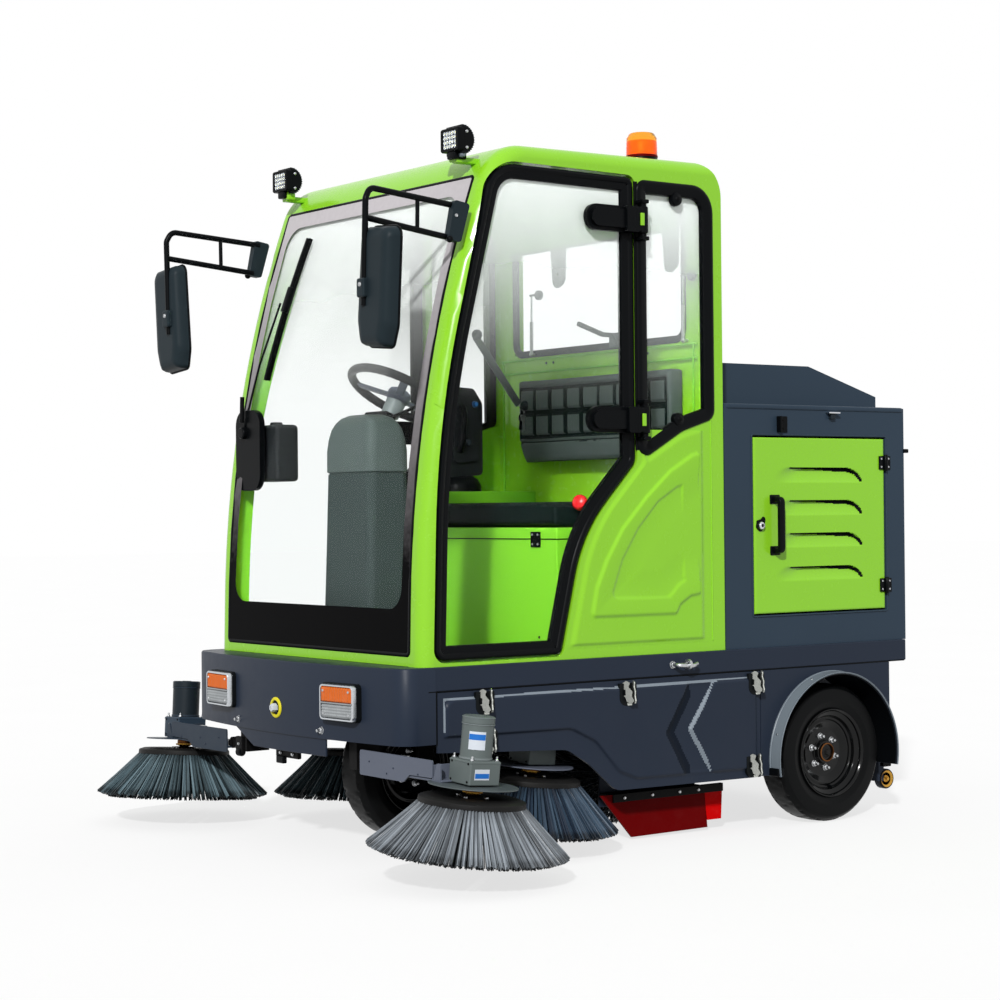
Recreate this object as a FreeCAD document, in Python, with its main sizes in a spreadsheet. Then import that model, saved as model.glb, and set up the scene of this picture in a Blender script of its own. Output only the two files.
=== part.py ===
import FreeCAD, Part
import math
import os
import re
import Sketcher
from FreeCAD import Placement, Rotation, Vector

# Compact ride-on road sweeper: three wheels, a glazed cab, four side brushes,
# a main roller and a rear box. Millimetres and degrees. The front faces -Y,
# the vehicle's left is +X and the floor is Z = 0. Sizes along Y count from the
# rear axle, and every sub-part is then set back by rear_axle.

SIZES = {
    "rear_axle": 671,
    # wheels
    "tyre_radius": 200,
    "tyre_half_width": 55,
    "rim_radius": 120,
    "wheelbase": 1120,
    "rear_wheel_x": 480,
    # lower body
    "body_half": 535,
    "body_front": 1546,
    "body_back": 309,
    "body_corner": 60,
    "front_bow": 2600,
    "body_wall": 12,
    "band_low": 455,
    "deck_top": 516,
    "bumper_low": 322,
    "bumper_back": 1397,
    "skirt_back": 285,
    "arch_radius": 236,
    # cab
    "cab_half": 520,
    "cab_wall": 35,
    "cab_front": 1432,
    "cab_back": 401,
    "roof_top": 1882,
    "roof_front_top": 1870,
    "cab_edge": 40,
    "glass_half": 461,
    "glass_low": 547,
    "glass_high": 1780,
    "glass_thick": 6,
    "opening_gap": 6,
    "door_frame": 38,
    "door_thick": 28,
    # rear box and hood
    "box_half": 523,
    "box_back": 321,
    "box_top": 1204,
    "box_wall": 15,
    "box_door_front": 289,
    "box_door_back": 236,
    "box_door_low": 612,
    "box_door_high": 1112,
    "hood_half": 430,
    "hood_front": 385,
    "hood_back": 300,
    "hood_low": 1210,
    "hood_top": 1327,
    "hood_slope_y": 20,
    "hood_back_top": 1243,
    "hood_wall": 8,
    # brushes
    "front_brush_x": 735,
    "front_brush_y": 1430,
    "mid_brush_x": 424,
    "mid_brush_y": 1015,
    "brush_radius": 252,
    "mid_brush_radius": 248,
    "brush_disc": 134,
    "brush_drop": 146,
    "brush_hub_z": 214,
    "mid_hub_z": 206,
    "roller_radius": 150,
    "roller_half": 360,
    "roller_y": 565,
    "roller_z": 166,
    # hopper
    "hopper_half": 370,
    "hopper_front": 360,
    "hopper_back": 312,
    "hopper_top": 395,
    "hopper_floor": 250,
    "hopper_low": 125,
    "hopper_step": 62,
    "sheet": 6,
}

DOC = FreeCAD.newDocument("road_sweeper")
SHEET = DOC.addObject("Spreadsheet::Sheet", "Sizes")
for row, (alias, value) in enumerate(SIZES.items(), start=1):
    SHEET.set("A%d" % row, alias)
    SHEET.set("B%d" % row, str(value))
    SHEET.setAlias("B%d" % row, alias)
DOC.recompute()

NODES = []


def size(alias):
    """Number held by one cell of the sheet."""
    return float(SHEET.get(alias))


def formula(text):
    """Expression text in which each size name points at its cell."""
    return re.sub(r"[a-z][a-z_]+", lambda word: "Sizes." + word.group(0), str(text))


def value_of(text):
    """Number that an expression text stands for."""
    if isinstance(text, (int, float)):
        return float(text)
    total = 0.0
    for sign, factor, word in re.findall(r"([+-]?)\s*(?:([\d.]+)\s*\*\s*)?([a-z_]+|[\d.]+)", text):
        number = float(word) if word[0].isdigit() else size(word)
        number *= float(factor) if factor else 1.0
        total += -number if sign == "-" else number
    return total


def bind(thing, prop, text):
    """Ties a property to the sheet, or sets a plain number."""
    thing.setExpression(prop, formula(text))


def keep(thing, label):
    """Names a finished sub-part, sets it back to the rear axle and lists it."""
    thing.Label = label
    bind(thing, "Placement.Base.y", "rear_axle")
    NODES.append(thing)
    return thing


def box(low, high):
    """Part box between two corners given as expression texts."""
    thing = DOC.addObject("Part::Box", "block")
    for prop, near, far in zip(("Length", "Width", "Height"), low, high):
        bind(thing, prop, "(%s) - (%s)" % (far, near))
    for axis, near in zip("xyz", low):
        bind(thing, "Placement.Base." + axis, near)
    return thing


TURNS = {
    "x": Rotation(Vector(0, 1, 0), 90),
    "y": Rotation(Vector(1, 0, 0), -90),
    "z": Rotation(),
}


def rod(axis, radius, start, length):
    """Part cylinder along one axis from a start point given as expression texts."""
    thing = DOC.addObject("Part::Cylinder", "rod")
    bind(thing, "Radius", radius)
    bind(thing, "Height", length)
    thing.Placement = Placement(Vector(), TURNS[axis])
    for name, place in zip("xyz", start):
        bind(thing, "Placement.Base." + name, place)
    return thing


def fuse(pieces):
    """Joins pieces into one."""
    thing = DOC.addObject("Part::MultiFuse", "joined")
    thing.Shapes = pieces
    return thing


def cut(base, tool):
    """Takes the tool away from the base."""
    thing = DOC.addObject("Part::Cut", "cut")
    thing.Base = base
    thing.Tool = tool
    return thing


def group(pieces):
    """Holds like pieces that don't touch as one sub-part."""
    thing = DOC.addObject("Part::Compound", "group")
    thing.Links = pieces
    return thing


def mirrored(piece):
    """The same piece on the vehicle's other side."""
    thing = DOC.addObject("Part::Mirroring", "mirrored")
    thing.Source = piece
    thing.Base = Vector(0, 0, 0)
    thing.Normal = Vector(1, 0, 0)
    return thing


def both_sides(piece):
    """A piece and its mirror image."""
    return [piece, mirrored(piece)]


PLANES = {"xy": "XY_Plane", "xz": "XZ_Plane", "yz": "YZ_Plane"}


def origin_part(body, role):
    """One of a body's own origin planes or axes."""
    return next(item for item in body.Origin.OriginFeatures if item.Role == role)


def outline(body, plane, corners, offset=0):
    """Closed sketch whose corners are tied to the sheet."""
    sketch = body.newObject("Sketcher::SketchObject", "outline")
    sketch.AttachmentSupport = [(origin_part(body, PLANES[plane]), "")]
    sketch.MapMode = "FlatFace"
    bind(sketch, "AttachmentOffset.Base.z", offset)
    count = len(corners)
    places = [Vector(value_of(u), value_of(v), 0) for u, v in corners]
    for number in range(count):
        sketch.addGeometry(Part.LineSegment(places[number], places[(number + 1) % count]), False)
    for number in range(count):
        sketch.addConstraint(Sketcher.Constraint("Coincident", number, 2, (number + 1) % count, 1))
    for number, (u, v) in enumerate(corners):
        for kind, text, place in (("DistanceX", u, places[number].x), ("DistanceY", v, places[number].y)):
            index = sketch.addConstraint(Sketcher.Constraint(kind, -1, 1, number, 1, place))
            if not isinstance(text, (int, float)):
                sketch.setExpression("Constraints[%d]" % index, formula(text))
    return sketch


def pad(label, plane, corners, offset, length):
    """Body padded from an outline."""
    body = DOC.addObject("PartDesign::Body", label)
    sketch = outline(body, plane, corners, offset)
    feature = body.newObject("PartDesign::Pad", "pad")
    feature.Profile = sketch
    bind(feature, "Length", length)
    return body


def turned(label, corners):
    """Body turned about its own Z axis from an outline of radius and height."""
    body = DOC.addObject("PartDesign::Body", label)
    sketch = outline(body, "xz", corners)
    feature = body.newObject("PartDesign::Revolution", "turn")
    feature.Profile = sketch
    feature.ReferenceAxis = (sketch, ["V_Axis"])
    feature.Angle = 360
    return body


def solid(label, shape):
    """Sub-part whose shape comes from the functions below."""
    thing = DOC.addObject("Part::Feature", label)
    thing.Shape = Part.makeCompound([shape])
    return thing


def rounded_face(corners, x=0.0):
    """Face across X whose (y, z, radius) corners are rounded with tangent arcs."""
    points = [Vector(x, y, z) for y, z, _ in corners]
    ends = []
    for number, (_, _, radius) in enumerate(corners):
        here = points[number]
        back = (points[number - 1] - here).normalize()
        ahead = (points[(number + 1) % len(points)] - here).normalize()
        half = back.getAngle(ahead) / 2
        reach = radius / math.tan(half)
        middle = here + (back + ahead).normalize() * (radius / math.sin(half) - radius)
        ends.append((here + back * reach, middle, here + ahead * reach, radius))
    edges = []
    for number, (start, middle, stop, radius) in enumerate(ends):
        if radius > 0:
            edges.append(Part.Arc(start, middle, stop).toShape())
        following = ends[(number + 1) % len(ends)][0]
        edges.append(Part.LineSegment(stop, following).toShape())
    return Part.Face(Part.Wire(edges))


def slab(face, near, far):
    """Solid of a face across X carried from one X to another."""
    moved = face.copy()
    moved.translate(Vector(near, 0, 0))
    return moved.extrude(Vector(far - near, 0, 0))


def block(x0, x1, y0, y1, z0, z1):
    """Plain box shape between stated limits."""
    return Part.makeBox(x1 - x0, y1 - y0, z1 - z0, Vector(x0, y0, z0))


def side_mirror(shape):
    """Mirror image of a shape on the other side of the vehicle."""
    return shape.mirror(Vector(0, 0, 0), Vector(1, 0, 0))


# Cab outline

CAB_UNDERCUT = 120.0
FRONT_BEND = (-1411.0, 1231.0, 3450.0)
ROOF_FRONT = -1180.0
ROOF_FRONT_RADIUS = 145.0
ROOF_BACK_RADIUS = 100.0


def cab_profile(square_back):
    """Side view of the cab, carried below the deck so that an inset copy stays open."""
    low = size("deck_top") - CAB_UNDERCUT
    back = -size("cab_back") + (300.0 if square_back else 0.0)
    return rounded_face([
        (-size("cab_front"), low, 0),
        FRONT_BEND,
        (ROOF_FRONT, size("roof_front_top"), ROOF_FRONT_RADIUS),
        (back, size("roof_top"), 0 if square_back else ROOF_BACK_RADIUS),
        (back, low, 0),
    ])


def cab_solid(inset, edge):
    """Full cab volume, inset from the outside, with its long edges rounded."""
    half = size("cab_half") - inset
    long_face = cab_profile(True)
    short_face = cab_profile(False)
    if inset:
        long_face = long_face.makeOffset2D(-inset)
        short_face = short_face.makeOffset2D(-inset)
    body = slab(long_face, -half, half)
    if edge:
        rims = [item for item in body.Edges if on_side_rim(item, half)]
        body = body.makeFillet(edge, rims)
    return body.common(slab(short_face, -half, half))


def on_side_rim(edge, half):
    """True for the front and roof edges of one side of the cab."""
    middle = edge.CenterOfMass
    if abs(abs(middle.x) - half) > 1:
        return False
    low = edge.BoundBox.ZMax < size("deck_top") - CAB_UNDERCUT + 60
    back = edge.BoundBox.YMin > -size("cab_back") + 200
    return not low and not back


def above_deck(shape):
    """Part of a cab shape that stands on the deck."""
    return shape.common(block(-700, 700, -1600, 200, size("deck_top"), 2000))


def door_outline():
    """Side view of a cab door's outer edge."""
    return rounded_face([
        (-1386, 530, 30),
        (-1367, 1130, 2600),
        (-1190, 1816, 95),
        (-720, 1812, 22),
        (-720, 1040, 40),
        (-905, 850, 420),
        (-982, 530, 22),
    ])


def quarter_outline():
    """Side view of the fixed pane behind the door."""
    return rounded_face([
        (-690, 1800, 18),
        (-434, 1800, 60),
        (-434, 1180, 18),
        (-560, 1145, 160),
        (-690, 1072, 12),
    ])


DOC.recompute()
CAB_OUTSIDE = cab_solid(0, size("cab_edge"))
CAB_SHELL = above_deck(CAB_OUTSIDE.cut(cab_solid(size("cab_wall"), 0)))


def cab_side():
    """Left wall with its pillars, the doorway and the quarter pane's opening cut."""
    half = size("glass_half")
    shape = CAB_SHELL.common(block(half, 700, -1600, 200, 0, 2000))
    shape = shape.cut(slab(door_outline().makeOffset2D(size("opening_gap")), half - 20, 700))
    shape = shape.cut(slab(quarter_outline(), half - 20, 700))
    return shape


DOOR_AXIS_X = 542.0
DOOR_AXIS_Y = -700.0
DOOR_HINGE_HEIGHTS = (1695.0, 1153.0)


def hinge_knuckles():
    """Fixed ears and pins on the left door post."""
    pieces = []
    far = DOOR_AXIS_X + 10
    for z in DOOR_HINGE_HEIGHTS:
        pin = Part.makeCylinder(6, 96, Vector(DOOR_AXIS_X, DOOR_AXIS_Y, z - 48))
        for low in (z - 54, z + 46):
            pin = pin.fuse(block(size("cab_half"), far, DOOR_AXIS_Y - 8, DOOR_AXIS_Y + 8, low, low + 8))
        pieces.append(pin)
    return pieces


def build_cab_sides():
    """Both cab walls with their door hinges' fixed halves."""
    left = cab_side()
    for piece in hinge_knuckles():
        left = left.fuse(piece)
    left = left.removeSplitter()
    keep(solid("cab_sides", Part.makeCompound([left, side_mirror(left)])), "cab_sides")


def build_cab_middle():
    """Roof, front header and sill, and the back wall with its window cut."""
    half = size("glass_half")
    middle = CAB_SHELL.common(block(-half, half, -1600, 200, 0, 2000))
    roof_start = -1100.0
    roof_end = -size("cab_back") - 75.0
    roof = middle.common(block(-half, half, roof_start, roof_end, 1500, 2000))
    keep(solid("cab_roof", roof), "cab_roof")
    header = middle.common(block(-half, half, -1600, roof_start, size("glass_high"), 2000))
    sill = middle.common(block(-half, half, -1600, roof_start, 0, size("glass_low")))
    keep(solid("cab_front_frame", Part.makeCompound([header, sill])), "cab_front_frame")
    back = middle.common(block(-half, half, roof_end, 200, 0, 2000))
    back = back.cut(slab(rounded_rear_window(), -BACK_WINDOW_HALF, BACK_WINDOW_HALF))
    keep(solid("cab_rear_wall", back), "cab_rear_wall")


BACK_WINDOW_HALF = 400.0
BACK_WINDOW_LOW = 1392.0
BACK_WINDOW_HIGH = 1758.0


def rounded_rear_window():
    """Side view of the tool that cuts the back window."""
    return rounded_face([
        (-600, BACK_WINDOW_LOW, 0),
        (-600, BACK_WINDOW_HIGH, 0),
        (-200, BACK_WINDOW_HIGH, 0),
        (-200, BACK_WINDOW_LOW, 0),
    ])


def build_glass():
    """Curved windshield, the back pane and both quarter panes."""
    half = size("glass_half")
    thick = size("glass_thick")
    layer = cab_solid(4, 0).cut(cab_solid(4 + thick, 0))
    pane = layer.common(block(-half, half, -1600, -1150, size("glass_low"), size("glass_high")))
    back = block(-BACK_WINDOW_HALF, BACK_WINDOW_HALF, -430, -430 + thick, BACK_WINDOW_LOW, BACK_WINDOW_HIGH)
    quarter = slab(quarter_outline(), 504, 504 + thick)
    keep(solid("cab_windows", Part.makeCompound([pane, back, quarter, side_mirror(quarter)])), "cab_windows")


def door_ring():
    """Left door frame with its hinge covers."""
    outer = size("cab_half")
    face = door_outline()
    inner = face.makeOffset2D(-size("door_frame"))
    ring = slab(face, outer - size("door_thick"), outer).cut(slab(inner, outer - 100, outer + 10))
    depth = DOOR_AXIS_X + 11 - outer
    for z in DOOR_HINGE_HEIGHTS:
        cover = block(outer + 2, outer + 2 + depth, -858, DOOR_AXIS_Y, z - 35, z + 35)
        cover = cover.fuse(Part.makeCylinder(35, depth, Vector(outer + 2, -858, z), Vector(1, 0, 0)))
        cover = cover.fuse(block(outer - 2, outer + 4, -756, -726, z - 30, z + 30))
        cover = cover.fuse(Part.makeCylinder(15, 70, Vector(DOOR_AXIS_X, DOOR_AXIS_Y, z - 35)))
        clear = block(outer - 5, DOOR_AXIS_X - 15, DOOR_AXIS_Y - 14, DOOR_AXIS_Y + 40, z - 40, z + 40)
        cover = cover.cut(clear).cut(Part.makeCylinder(6.3, 90, Vector(DOOR_AXIS_X, DOOR_AXIS_Y, z - 45)))
        ring = ring.fuse(cover)
    return ring


def build_doors():
    """Both cab doors, each a frame and a pane."""
    ring = door_ring()
    pane = slab(door_outline().makeOffset2D(-size("door_frame")), 503, 503 + size("glass_thick"))
    keep(solid("door_left_frame", ring), "door_left_frame")
    keep(solid("door_left_glass", pane), "door_left_glass")
    keep(solid("door_right_frame", side_mirror(ring)), "door_right_frame")
    keep(solid("door_right_glass", side_mirror(pane)), "door_right_glass")


# Lower body


def plan_face(inset, back):
    """Plan of the lower body: a bowed front, tight front corners and straight sides."""
    half = size("body_half") - inset
    bow = size("front_bow") - inset
    corner = size("body_corner") - inset
    bow_y = size("front_bow") - size("body_front")
    centre = Vector(half - corner, bow_y - math.sqrt((bow - corner) ** 2 - (half - corner) ** 2), 0)
    toward = (centre - Vector(0, bow_y, 0)).normalize()
    start = centre + toward * corner
    middle = centre + (toward + Vector(1, 0, 0)).normalize() * corner
    stop = Vector(half, centre.y, 0)
    nose = Vector(0, bow_y - bow, 0)
    return Part.Face(Part.Wire([
        Part.Arc(across(start), nose, start).toShape(),
        Part.Arc(start, middle, stop).toShape(),
        Part.makeLine(stop, Vector(half, back, 0)),
        Part.makeLine(Vector(half, back, 0), Vector(-half, back, 0)),
        Part.makeLine(Vector(-half, back, 0), across(stop)),
        Part.Arc(across(stop), across(middle), across(start)).toShape(),
    ]))


def across(point):
    """The same point on the vehicle's other side."""
    return Vector(-point.x, point.y, point.z)


def plan_solid(inset, back, low, high):
    """Block with the lower body's plan between two heights."""
    face = plan_face(inset, back)
    face.translate(Vector(0, 0, low))
    return face.extrude(Vector(0, 0, high - low))


def build_deck():
    """Tray that the cab and the rear box stand on."""
    wall = size("body_wall")
    back = size("body_back")
    tray = plan_solid(0, back, size("band_low"), size("deck_top"))
    hollow = plan_solid(wall, back - wall, size("band_low") - 5, size("deck_top") - wall)
    keep(solid("deck", tray.cut(hollow)), "deck")


GUARD_LEFT = 226.0
GUARD_RIGHT_TOP = -245.0
GUARD_RIGHT_LOW = -135.0
GUARD_LOW = 276.0


def build_bumper():
    """Wrapped front bumper with the guard plate below it."""
    wall = size("body_wall")
    back = -size("bumper_back")
    low = size("bumper_low")
    band = plan_solid(0, back, low, size("band_low"))
    bumper = band.cut(plan_solid(wall, back + 10, low - 5, size("band_low") + 5))
    corners = [Vector(x, -1600, z) for x, z in (
        (GUARD_LEFT, GUARD_LOW), (GUARD_LEFT, low + 10), (GUARD_RIGHT_TOP, low + 10),
        (GUARD_RIGHT_TOP, low), (GUARD_RIGHT_LOW, GUARD_LOW))]
    outline_shape = Part.Face(Part.makePolygon(corners + corners[:1])).extrude(Vector(0, 200, 0))
    plate = plan_solid(3, back, GUARD_LOW - 5, low + 10).cut(plan_solid(9, back + 10, GUARD_LOW - 9, low + 15))
    keep(solid("front_bumper", bumper.fuse(plate.common(outline_shape)).removeSplitter()), "front_bumper")


LATCH_PLACES = ((-1248, 425), (-773, 420), (-1239, 323), (-304, 423), (-315, 191))


def build_skirts():
    """Side skirts that arch over the middle brushes, with a raised field and toggle latches."""
    corners = [
        ("-1*bumper_back + 5", 452),
        ("-1*bumper_back + 5", 300),
        (-977, 279),
        (-905, 236),
        (-814, 158),
        ("-1*skirt_back", 153),
        ("-1*skirt_back", 452),
    ]
    field = [(-1372, 434), (-1372, 338), (-966, 331), (-884, 290), (-803, 204), (-742, 184), (-303, 180), (-303, 434)]
    panel = pad("skirt_panel", "yz", corners, "body_half - body_wall", "body_wall")
    raised = pad("skirt_field", "yz", field, "body_half - 1", 8)
    latches = [box(("body_half - 1", y - 13, z - 28), ("body_half + 16", y + 13, z + 28)) for y, z in LATCH_PLACES]
    keep(group(both_sides(fuse([panel, raised] + latches))), "side_skirts")


def build_fenders():
    """Panels round the rear wheels with a wide mudguard strip over each tyre."""
    panel = box(("body_half - body_wall", "-1*skirt_back + 3", "155"), ("body_half", "237", "band_low - 2"))
    bore = rod("x", "arch_radius", ("300", "-8", "196"), "300")
    strip = rod("x", "arch_radius + 8", ("397", "-8", "196"), "body_half + 42 - 397")
    below = box(("300", "-300", "-100"), ("600", "300", "155"))
    strip = cut(strip, below)
    left = cut(fuse([panel, strip]), bore)
    keep(group(both_sides(left)), "rear_fenders")


def axle_pieces():
    """Axle tube with the drive unit and the wheel stubs."""
    tube = rod("x", "28", ("-384", "0", "tyre_radius"), "768")
    unit = box(("-90", "-110", "130"), ("90", "40", "tyre_radius + 38"))
    stub = rod("x", "15", ("-505", "0", "tyre_radius"), "1010")
    motor = rod("x", "55", ("-250", "-75", "tyre_radius - 20"), "160")
    return [tube, unit, stub, motor]


def build_frame():
    """Rails, cross members, steering head, rear axle and the brackets below them."""
    rail = box(("225", "-1440", "404"), ("265", "250", "504"))
    pieces = both_sides(rail)
    for y in (-1420, -800, 200):
        pieces.append(box(("-225", y, "444"), ("225", y + 40, "504")))
    pieces.append(box(("-225", "-1*wheelbase - 45", "450"), ("225", "-1*wheelbase + 45", "504")))
    pieces.append(rod("z", "36", ("0", "-1*wheelbase", "431"), "73"))
    hanger = box(("384", "-30", "180"), ("396", "30", "504"))
    outrigger = box(("265", "-30", "470"), ("384", "30", "504"))
    arm_post = box(("265", "-1485", "245"), ("300", "-1425", "504"))
    arm_pin = rod("y", "8", ("345", "-1496", "265"), "82")
    pin_ear = box(("300", "-1425", "245"), ("357", "-1414", "285"))
    post_foot = box(("265", "-1425", "245"), ("300", "-1414", "370"))
    mid_post = box(("225", "-1045", "285"), ("240", "-985", "404"))
    mid_pin = rod("y", "8", ("262", "-1056", "320"), "82")
    mid_ear = box(("225", "-985", "300"), ("276", "-974", "340"))
    for piece in (hanger, outrigger, arm_post, arm_pin, pin_ear, post_foot, mid_post, mid_pin, mid_ear):
        pieces.extend(both_sides(piece))
    pieces.extend(axle_pieces())
    bore = rod("z", "22.3", ("0", "-1*wheelbase", "420"), "75")
    keep(cut(fuse(pieces), bore), "chassis_frame")


def build_eyes():
    """Tie-down eyes on the band and the tow lug at the back."""
    ring = rod("y", "14", ("body_half + 27", "-579", "486"), "8")
    hole = rod("y", "8", ("body_half + 27", "-585", "486"), "20")
    shank = rod("x", "5", ("body_half", "-575", "486"), "16")
    eye = cut(fuse([ring, shank]), hole)
    lug = box(("-30", "body_back", "470"), ("30", "body_back + 38", "482"))
    pin_hole = rod("z", "10", ("0", "body_back + 22", "460"), "40")
    keep(group(both_sides(eye) + [cut(lug, pin_hole)]), "tie_down_eyes")


# Wheels


TYRE_SIDES = 64


def tyre_profile():
    """Radius and height corners of a tyre's section, its bore standing clear of the round rim."""
    bore = size("rim_radius") / math.cos(math.pi / TYRE_SIDES)
    radius = size("tyre_radius")
    half = size("tyre_half_width")
    side = [(bore, half - 7), (size("rim_radius") + 40, half), (radius - 12, half - 5), (radius, half - 20)]
    return [(r, -z) for r, z in side] + side[::-1]


def ring_of_facets(profile, sides):
    """Closed ring about the Z axis made of flat facets."""
    turns = [2 * math.pi * number / sides for number in range(sides)]
    rows = [[Vector(r * math.cos(a), r * math.sin(a), z) for r, z in profile] for a in turns]
    faces = []
    for number, here in enumerate(rows):
        after = rows[(number + 1) % sides]
        for corner in range(len(profile)):
            following = (corner + 1) % len(profile)
            loop = [here[corner], here[following], after[following], after[corner], here[corner]]
            faces.append(Part.Face(Part.makePolygon(loop)))
    shape = Part.Solid(Part.Shell(faces))
    if shape.Volume < 0:
        shape.reverse()
    return shape


def rim_corners():
    """Radius and width of a steel rim with its dished disc and hub."""
    return [
        (15.3, -30),
        (34, -30),
        (34, 0),
        ("rim_radius - 14", 8),
        ("rim_radius - 10", -48),
        ("rim_radius", -48),
        ("rim_radius", 48),
        ("rim_radius - 10", 48),
        ("rim_radius - 14", 18),
        (34, 12),
        (34, 28),
        (15.3, 28),
    ]


def build_wheel(name, x, y, turn):
    """One tyre and rim, turned so that their own Z axis lies across the vehicle."""
    tyre = solid(name + "_tyre", ring_of_facets(tyre_profile(), TYRE_SIDES))
    for kind, body in (("tyre", tyre), ("rim", turned(name + "_rim", rim_corners()))):
        body.Placement = Placement(Vector(), Rotation(Vector(0, 1, 0), turn))
        keep(body, name + "_" + kind)
        bind(body, "Placement.Base.x", x)
        bind(body, "Placement.Base.y", "rear_axle + %s" % y)
        bind(body, "Placement.Base.z", "tyre_radius")


def build_fork():
    """Front fork with its crown, stem and axle."""
    leg = box(("72", "-1*wheelbase - 25", "176"), ("84", "-1*wheelbase + 25", "425"))
    crown = box(("-84", "-1*wheelbase - 45", "411"), ("84", "-1*wheelbase + 45", "425"))
    stem = rod("z", "22", ("0", "-1*wheelbase", "425"), "68")
    axle = rod("x", "15", ("-84", "-1*wheelbase", "tyre_radius"), "168")
    keep(fuse(both_sides(leg) + [crown, stem, axle]), "front_fork")


# Sweeping gear

BRUSH_LEAN = Vector(0.05, 0.08, 1.0)


def brush_corners(radius):
    """Radius and height of a side brush below its hub."""
    return [
        (12.3, 0),
        ("brush_disc", 0),
        ("brush_disc + 2", -18),
        (radius, "-1*brush_drop + 10"),
        (radius + " - 10", "-1*brush_drop"),
        (radius + " - 80", "-1*brush_drop"),
        (95, -24),
        (12.3, -24),
    ]


def build_brush(name, side, x, y, z, radius):
    """One side brush that leans outwards and to the back."""
    body = turned(name, brush_corners(radius))
    lean = Vector(BRUSH_LEAN.x * side, BRUSH_LEAN.y, BRUSH_LEAN.z)
    body.Placement = Placement(Vector(), Rotation(Vector(0, 0, 1), lean))
    keep(body, name)
    bind(body, "Placement.Base.x", x)
    bind(body, "Placement.Base.y", "rear_axle - %s" % y)
    bind(body, "Placement.Base.z", z)


def brush_drive(hub, height):
    """Gearbox, motor and shaft on a left brush's leaning axis."""
    lean = Vector(BRUSH_LEAN)
    turn = Placement(hub, Rotation(Vector(0, 0, 1), lean))
    gearbox = block(-45, 45, -45, 45, 32, 92)
    motor = Part.makeCylinder(45, height, Vector(0, 0, 92))
    shaft = Part.makeCylinder(12, 55, Vector(0, 0, -23))
    drive = gearbox.fuse([motor, shaft])
    drive.Placement = turn
    return drive


def build_front_arms():
    """Arms that carry the front brushes, hinged beside the frame."""
    hub = Vector(size("front_brush_x"), -size("front_brush_y"), size("brush_hub_z"))
    drive = brush_drive(hub, 106)
    barrel = Part.makeCylinder(16, 60, Vector(345, -1488, 265), Vector(0, 1, 0))
    edge = [Vector(x, -1505, z) for x, z in (
        (345, 239), (545, 239), (573, 258), (672, 258), (672, 302), (345, 302))]
    plate = Part.Face(Part.makePolygon(edge + edge[:1])).extrude(Vector(0, 8, 0))
    web = block(345, 700, -1500, -1440, 249, 257)
    arm = plate.fuse([web, barrel, block(672, 700, -1505, -1400, 249, 290)])
    arm = arm.cut(Part.makeCylinder(8.3, 100, Vector(345, -1510, 265), Vector(0, 1, 0)))
    left = arm.fuse(drive).removeSplitter()
    keep(solid("front_arm_left", left), "front_arm_left")
    keep(solid("front_arm_right", side_mirror(left)), "front_arm_right")


def build_mid_arms():
    """Short arms that carry the middle brushes under the deck."""
    hub = Vector(size("mid_brush_x"), -size("mid_brush_y"), size("mid_hub_z"))
    drive = brush_drive(hub, 80)
    barrel = Part.makeCylinder(16, 50, Vector(262, -1040, 320), Vector(0, 1, 0))
    strap = block(262, 380, -1040, -990, 304, 312).fuse(block(262, 390, -1040, -990, 270, 312))
    strap = strap.fuse(barrel).cut(Part.makeCylinder(8.3, 100, Vector(262, -1060, 320), Vector(0, 1, 0)))
    left = strap.fuse(drive).removeSplitter()
    keep(solid("mid_arm_left", left), "mid_arm_left")
    keep(solid("mid_arm_right", side_mirror(left)), "mid_arm_right")


def build_roller():
    """Main roller with its housing and the red flaps round it."""
    bristles = rod("x", "roller_radius", ("-1*roller_half", "-1*roller_y", "roller_z"), "2*roller_half")
    shaft = rod("x", "14.7", ("-1*roller_half - 19", "-1*roller_y", "roller_z"), "2*roller_half + 38")
    keep(fuse([bristles, shaft]), "main_roller")
    cheek = box(("roller_half + 8", "-740", "90"), ("roller_half + 14", "-390", "404"))
    hole = rod("x", "15", ("roller_half", "-1*roller_y", "roller_z"), "40")
    top = box(("-1*roller_half - 8", "-740", "398"), ("roller_half + 8", "-390", "404"))
    left = cut(cheek, hole)
    keep(fuse(both_sides(left) + [top]), "roller_housing")
    corners = [(-783, 130), (-673, 8), (-394, 10), (-407, 130)]
    flap = pad("flap_panel", "yz", corners, 425, 6)
    strap = pad("flap_strap", "yz", [(-740, 118), (-740, 130), (-335, 130), (-335, 118)], 374, 51)
    rear_flap = pad("rear_flap_panel", "yz", [(-390, 30), (-335, 34), (-335, 130), (-390, 130)], 425, 6)
    back = box(("-1*roller_half - 8", "-396", "12"), ("roller_half + 8", "-390", "130"))
    keep(group(both_sides(fuse([flap, strap, rear_flap])) + [back]), "roller_flaps")


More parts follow.
